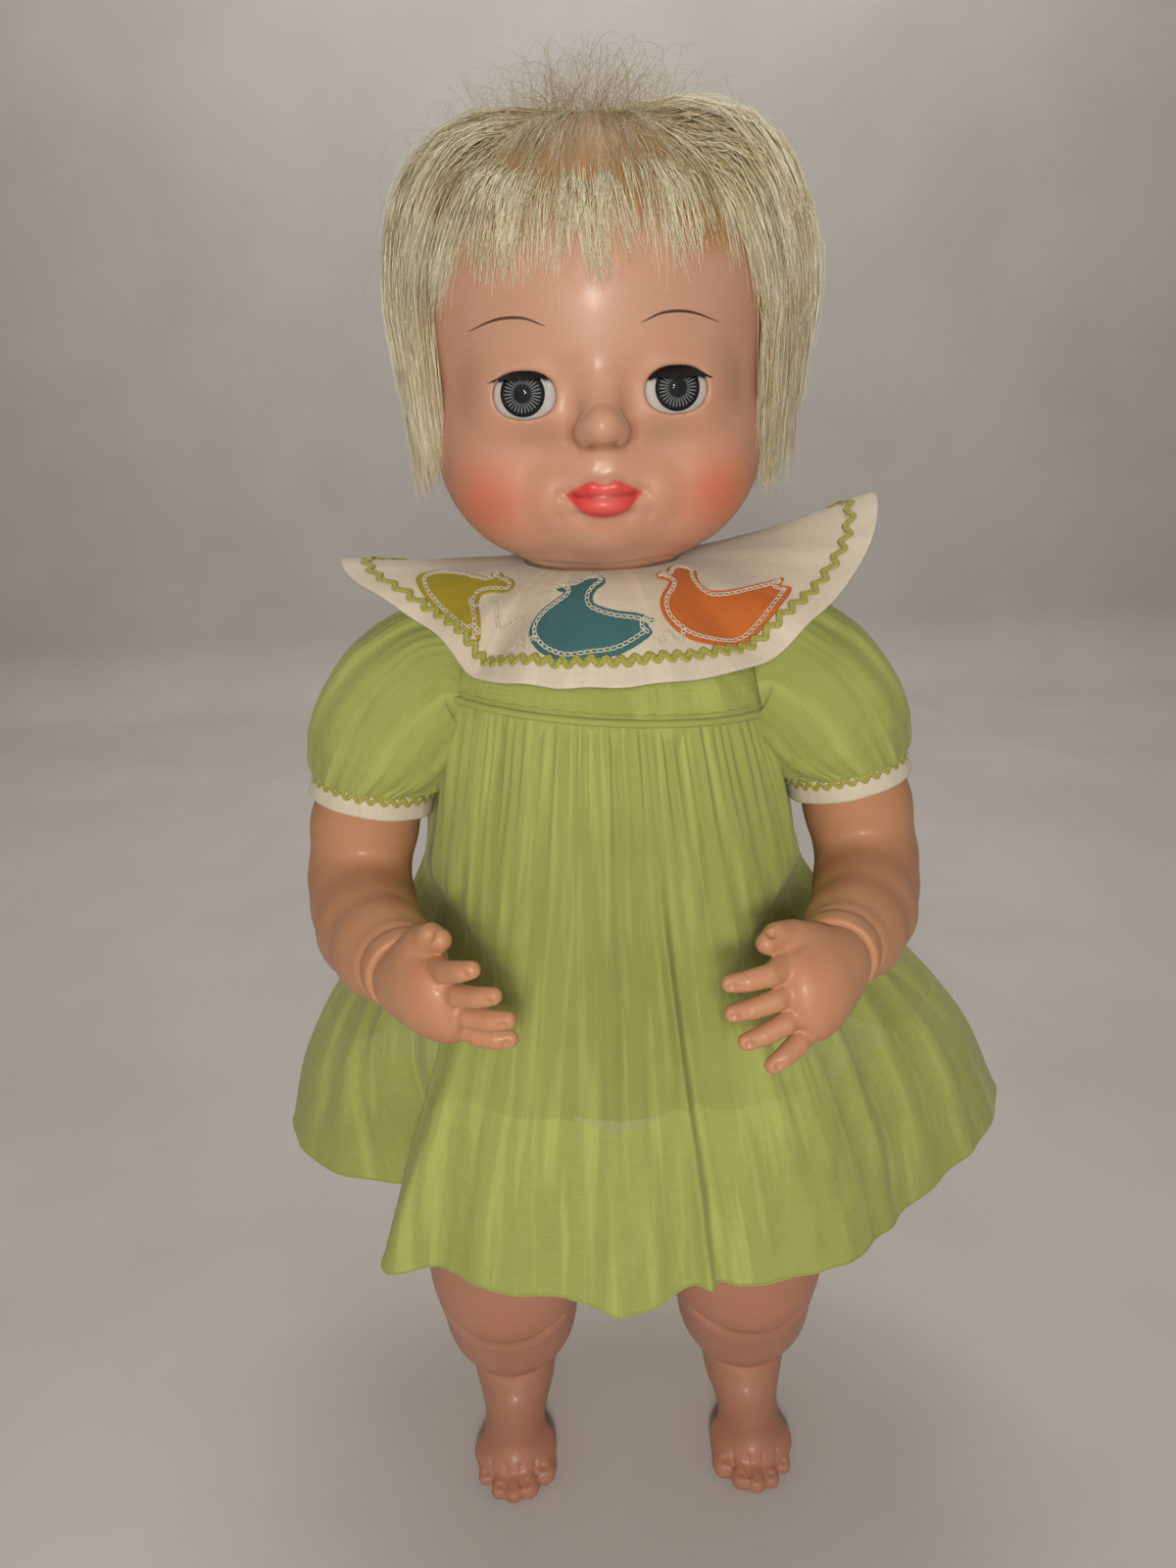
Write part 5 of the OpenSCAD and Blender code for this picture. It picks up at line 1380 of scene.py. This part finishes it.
def collar_at(way, s):
    """The collar's middle layer: way round from the front in degrees, s from the neck to the edge."""
    way, s = np.broadcast_arrays(np.asarray(way, float), np.asarray(s, float))
    a = np.radians(way)
    edge_r, edge_z = curve(way, EDGE_WAY, EDGE_R), curve(way, EDGE_WAY, EDGE_Z)
    r = 28.0 + (edge_r - 28.0) * s
    front = np.cos(a) ** 2
    z = 407.0 + (edge_z - 407.0) * s ** 1.15 + 5 * np.sin(math.pi * s) * front
    z = z + 3.0 * waves(way * (1 + 0 * s)) * between(s, 0.25, 1.0)
    # a soft pleat that runs in from the front edge at each side
    for at, deep, slant in ((-47, -3.2, 22), (47, -3.4, -14)):
        away = (way - at - slant * (1 - s)) / (7.0 + 5 * (1 - s))
        z = z + deep * np.exp(-away ** 2) * between(s, 0.3, 0.85)
        z = z + 2.2 * np.exp(-(away + np.sign(slant) * 1.5) ** 2) * between(s, 0.3, 0.85)
    return np.stack([r * np.sin(a), -r * np.cos(a), z], -1)


def collar_up(way, s):
    across = collar_at(way + 0.5, s) - collar_at(way - 0.5, s)
    out = collar_at(way, np.asarray(s) + 0.01) - collar_at(way, np.asarray(s) - 0.01)
    return unit(np.cross(out, across))


ways = np.linspace(-180, 180, 541)[:-1]
shares = np.linspace(0, 1, 64)
collar_grid = collar_at(ways[:, None], shares[None, :])
collar_points, collar_faces = slab(collar_grid, 0.9, closed=True)
arc = np.radians(ways)[:, None] * 62 + 0 * shares[None, :]
reach = 0 * ways[:, None] + shares[None, :] * 52
collar_thread = np.tile(np.stack([arc, reach, 0 * arc], -1).reshape(-1, 3), (2, 1))
# the turned hem, a pleat thicker than the rest, and the rickrack along it
hem_grid = collar_at(ways[:, None], np.linspace(0.845, 1.004, 12)[None, :])
hem_up = collar_up(ways[:, None], np.linspace(0.845, 1.004, 12)[None, :])
hem_points, hem_faces = slab(hem_grid + 0.28 * hem_up, 1.3, closed=True)
hem_arc = np.radians(ways)[:, None] * 62 + np.zeros((1, 12))
hem_reach = 0 * ways[:, None] + np.linspace(0, 8, 12)[None, :]
hem_thread = np.tile(np.stack([hem_arc, hem_reach, 0 * hem_arc], -1).reshape(-1, 3), (2, 1))
ring_way = np.linspace(-180, 180, 1441)[:-1]
ring = collar_at(ring_way, 0.865 + 0 * ring_way)
ring_up = collar_up(ring_way, 0.865 + 0 * ring_way)
ring_out = unit(collar_at(ring_way, 0.875 + 0 * ring_way) - ring)
rickrack_points, rickrack_faces = zigzag(ring + 1.35 * ring_up, ring_up, ring_out, 84, 1.35, 2.3, 0.5)


def link_chain(path, normals, spacing=2.15, half_long=1.28, half_wide=0.62):
    """Chain stitches along a line of points."""
    steps = np.linalg.norm(np.diff(path, axis=0), axis=1)
    run = np.concatenate([[0], np.cumsum(steps)])
    at = np.arange(spacing / 2, run[-1], spacing)
    middle = np.stack([np.interp(at, run, path[:, i]) for i in range(3)], -1)
    ahead = np.stack([np.interp(at + 0.6, run, path[:, i]) for i in range(3)], -1)
    behind = np.stack([np.interp(at - 0.6, run, path[:, i]) for i in range(3)], -1)
    t = unit(ahead - behind + 1e-9)
    up = unit(np.stack([np.interp(at, run, normals[:, i]) for i in range(3)], -1))
    b = np.cross(up, t)
    a = 2 * math.pi * np.arange(12) / 12
    tilt = rng.normal(0, 0.12, (len(at), 1, 1))
    loop = (middle[:, None] + half_long * np.cos(a)[None, :, None] * (t + 0 * up)[:, None]
            + half_wide * np.sin(a)[None, :, None] * (b[:, None] + tilt * t[:, None])
            + (0.18 * np.cos(a)[None, :, None] + 0.12) * up[:, None])
    return tubes(loop, 0.24, 4, 1.0, (0.3, 0.2, 0.93), closed=True)


# Each bird's outline, in mm: across, and up towards the neck.
BIRD = [(20.5, -3.0), (18.0, -4.6), (18.6, -7.2), (15, -9.4), (9, -11.6), (2, -12.8), (-6, -12.8),
        (-13, -10.6),
        (-17.4, -6), (-18.4, -1), (-16.4, 4), (-12.6, 8), (-9.8, 11.4), (-13.6, 13.4), (-12.0, 16.2),
        (-6.6, 17.2),
        (-2.6, 20.0), (3.0, 20.8), (6.4, 18.6), (6.4, 15.0), (3.2, 12.0), (1.4, 8.6), (1.8, 5.2), (5.0, 3.0),
        (10.0, 1.2), (15.6, -0.4)]


def rounded(outline, count=168):
    """A closed smooth line through the outline's points."""
    points = np.asarray(outline, float)
    wide = np.vstack([points[-3:], points, points[:3]])
    t = np.arange(len(wide)) - 3.0
    return curve(np.linspace(0, len(points), count, endpoint=False), t, wide)


def bird(name, way, s, turn, size, paint, mirror=1):
    outline = rounded(BIRD) * vec(mirror, 1) * size
    a = math.radians(turn)
    outline = outline @ np.array([[math.cos(a), math.sin(a)], [-math.sin(a), math.cos(a)]])
    if mirror < 0:
        outline = outline[::-1]

    def place(flat, lift):
        ww = way + np.degrees(flat[:, 0] / 50.0)
        ss = np.clip(s - flat[:, 1] / 47.0, 0.02, 0.97)
        return collar_at(ww, ss) + lift * collar_up(ww, ss), collar_up(ww, ss)
    low, high = outline.min(0), outline.max(0)
    px, py = np.meshgrid(np.arange(low[0], high[0], 1.3), np.arange(low[1], high[1], 1.3))
    inner = np.stack([px.ravel(), py.ravel()], -1) + 0.013
    near = np.linalg.norm(inner[:, None] - outline[None], axis=-1).min(1)
    inner = inner[near > 0.8]
    n = len(outline)
    flat, _, faces, *_ = delaunay_2d_cdt([Vector(q) for q in np.vstack([outline, inner])], [],
                                         [list(range(n))], 1,
                                         1e-5)
    flat = np.array([tuple(q) for q in flat])
    faces = np.array([f for f in faces if len(f) == 3])
    points, up = place(flat, 0.78)
    turned = np.einsum("ij,ij->i", np.cross(points[faces[:, 1]] - points[faces[:, 0]],
                                            points[faces[:, 2]] - points[faces[:, 0]]), up[faces[:, 0]])
    if turned.sum() < 0:
        faces = faces[:, ::-1]
    thread = np.stack([flat[:, 0], flat[:, 1], 0 * flat[:, 0]], -1)
    patch = piece("duck_" + name, points, faces, paint, "torso", ("applique_" + name,), "applique_" + name,
                  thread=thread)
    edge, _ = place(outline, 0.72)
    edge_points, edge_faces = tubes(edge[None], 0.30, 5, 1.0, (0, 0, 1), closed=True)
    rim = piece("duck_edge_" + name, edge_points, edge_faces, paint, "torso", (), "applique_" + name,
                thread=edge_points)
    tangent = unit(np.roll(outline, -2, 0) - np.roll(outline, 2, 0))
    inset = outline + 1.7 * np.stack([-tangent[:, 1], tangent[:, 0]], -1) * (
        1 if np.sum(outline[:, 0] * np.roll(outline[:, 1], -1) - np.roll(outline[:, 0], -1) * outline[:,
                1]) > 0
        else -1)
    line, line_up = place(np.vstack([inset, inset[:1]]), 1.15)
    stitches = piece("duck_stitches_" + name, *link_chain(line, line_up), floss, "torso", (),
                     "collar_cotton")


floss = yarn("cream_floss", (0.80, 0.74, 0.58), (0.52, 0.45, 0.30), 2.4, 0.5)
rickrack = piece("collar_rickrack_braid", rickrack_points, rickrack_faces, rickrack_yarn, "torso",
                 ("collar_rickrack",), "rickrack_braid")
collar_hem = piece("collar_hem", hem_points, hem_faces, cotton, "torso", (), "collar_cotton",
                   thread=hem_thread)
water = []
for low, high, base, size in ((-62, -33, 0.60, 0.05), (15, 27, 0.74, 0.035), (-33, -24, 0.75, 0.03)):
    w = np.linspace(low, high, 90)
    s = base + size * np.sin((w - low) / (high - low) * 12)
    water.append(link_chain(collar_at(w, s) + 0.85 * collar_up(w, s), collar_up(w, s)))
water_line = piece("water_stitches", *merge(water), floss, "torso", (), "collar_cotton")
collar = piece("collar_cloth", collar_points, collar_faces, cotton, "torso", ("collar",), "collar_cotton",
               thread=collar_thread)
bird("teal", -7, 0.58, 3, 0.98, cloth("teal_cotton", (0.055, 0.165, 0.175), (0.030, 0.100, 0.110), 0.55,
                                      slub=0.4))
bird("orange", 43, 0.55, -6, 1.04, cloth("orange_cotton", (0.62, 0.165, 0.030), (0.45, 0.10, 0.015),
                                         0.55, slub=0.4))
bird("olive", -64, 0.60, -26, 0.84, cloth("olive_cotton", (0.42, 0.33, 0.020), (0.30, 0.22, 0.012),
                                          0.55, slub=0.4))


# ---- finishes for the CAD's own hard parts --------------------------------------------------------

body_plastic = moulded("body_plastic", (0.52, 0.27, 0.17), 0.48)
casing_plastic = moulded("casing_plastic", (0.66, 0.63, 0.56), 0.5)
works_plastic = moulded("works_plastic", (0.58, 0.56, 0.50), 0.46)
button_plastic = moulded("button_plastic", (0.74, 0.72, 0.64), 0.25)
bellows_rubber = moulded("bellows_rubber", (0.055, 0.052, 0.050), 0.68)
mouth_plastic = moulded("mouth_plastic", (0.50, 0.20, 0.14), 0.5)
zinc_steel = drawn_metal("zinc_steel", (0.50, 0.50, 0.48), 0.34)
bright_steel = drawn_metal("bright_steel", (0.66, 0.65, 0.63), 0.20)
lead = drawn_metal("lead", (0.22, 0.22, 0.23), 0.55, (1, 1, 1))
reed_brass = drawn_metal("reed_brass", (0.66, 0.47, 0.18), 0.28)
FINISHES = {
    "torso_front_shell": body_plastic, "torso_back_shell": body_plastic, "shell_screws": bright_steel,
    "mechanism_frame": zinc_steel, "shoulder_pins": bright_steel, "guide_rods": bright_steel,
    "return_springs": bright_steel, "squeaker_bellows": bellows_rubber, "squeaker_reed": reed_brass,
    "crosshead": works_plastic, "body_crank": works_plastic, "pull_wire": bright_steel,
    "yoke_left": works_plastic, "yoke_right": works_plastic, "arm_screw_left": bright_steel,
    "arm_screw_right": bright_steel, "neck_flange": works_plastic, "mouth_guide": works_plastic,
    "mouth_slider": mouth_plastic, "mouth_crank": works_plastic, "eye_casing_left": casing_plastic,
    "eye_casing_right": casing_plastic, "eye_weight_left": lead, "eye_weight_right": lead,
    "back_buttons": button_plastic,
}


def yielding(node):
    """The CAD's own shape of a soft part, as a piece of its own with the part's finish, on the torso."""
    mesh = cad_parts[node].data.copy()
    thing = bpy.data.objects.new(node + "_soft", mesh)
    bpy.context.scene.collection.objects.link(thing)
    mesh.materials.clear()
    mesh.materials.append(FINISHES[node])
    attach(thing, "torso")
    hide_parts(node)
    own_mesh(thing)


yielding("return_springs")
yielding("squeaker_bellows")
for node, finish in FINISHES.items():
    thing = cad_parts[node]
    if thing.material_slots:
        for held in thing.material_slots:
            held.material = finish
    else:
        thing.data.materials.append(finish)


# ---- floor, backdrop and light ---------------------------------------------------------------------

def make_stage():
    p = Paint("studio_paint", "object", Roughness=0.85)
    tone = p.mix(p.band(p.noise(0.006, 3), 0.35, 0.65), (0.63, 0.60, 0.565), (0.585, 0.555, 0.52))
    paint = p.set(Base_Color=tone, Normal=p.bump(p.noise(0.5, 3), 0.05, 0.1))
    profile = [(-2.4, 0.0)] + [(1.2 + 0.1 * math.sin(a), 0.1 - 0.1 * math.cos(a))
                               for a in np.linspace(0, math.pi / 2, 12)] + [(1.3, 2.6)]
    xs = np.linspace(-2.4, 2.4, 9)
    points = np.array([[x, y, z] for x in xs for y, z in profile]) / MM
    stage = bpy.data.objects.new("stage", make_mesh("stage", points, grid_faces(len(xs),
            len(profile))[:, ::-1]))
    stage.data.materials.append(paint)
    bpy.context.scene.collection.objects.link(stage)


def area_light(name, place, target, size, power, colour=(1, 1, 1)):
    data = bpy.data.lights.new(name, "AREA")
    data.shape, data.size, data.energy, data.color = "DISK", size, power, colour
    lamp = bpy.data.objects.new(name, data)
    bpy.context.scene.collection.objects.link(lamp)
    lamp.location = place
    lamp.rotation_euler = (Vector(target) - Vector(place)).to_track_quat("-Z", "Y").to_euler()


make_stage()
area_light("key", (-0.02, -0.80, 0.56), (0, 0, 0.38), 0.13, 4.4, (1.0, 0.95, 0.88))
area_light("fill_left", (-1.1, -0.7, 0.6), (0, 0, 0.3), 0.9, 1.0, (1.0, 0.97, 0.94))
area_light("fill_right", (1.1, -0.6, 0.8), (0, 0, 0.3), 0.9, 0.8, (0.98, 0.98, 1.0))
area_light("top", (0.0, 0.1, 1.5), (0, 0, 0.3), 0.8, 1.7)
area_light("backdrop_light", (0.0, 0.75, 1.7), (0, 1.35, 0.95), 1.2, 11.0, (1.0, 0.97, 0.93))
world = bpy.data.worlds.new("world")
world.use_nodes = True
world.node_tree.nodes["Background"].inputs["Color"].default_value = (0.80, 0.79, 0.77, 1)
world.node_tree.nodes["Background"].inputs["Strength"].default_value = 0.16
bpy.context.scene.world = world
bpy.context.scene.view_settings.view_transform = "Standard"
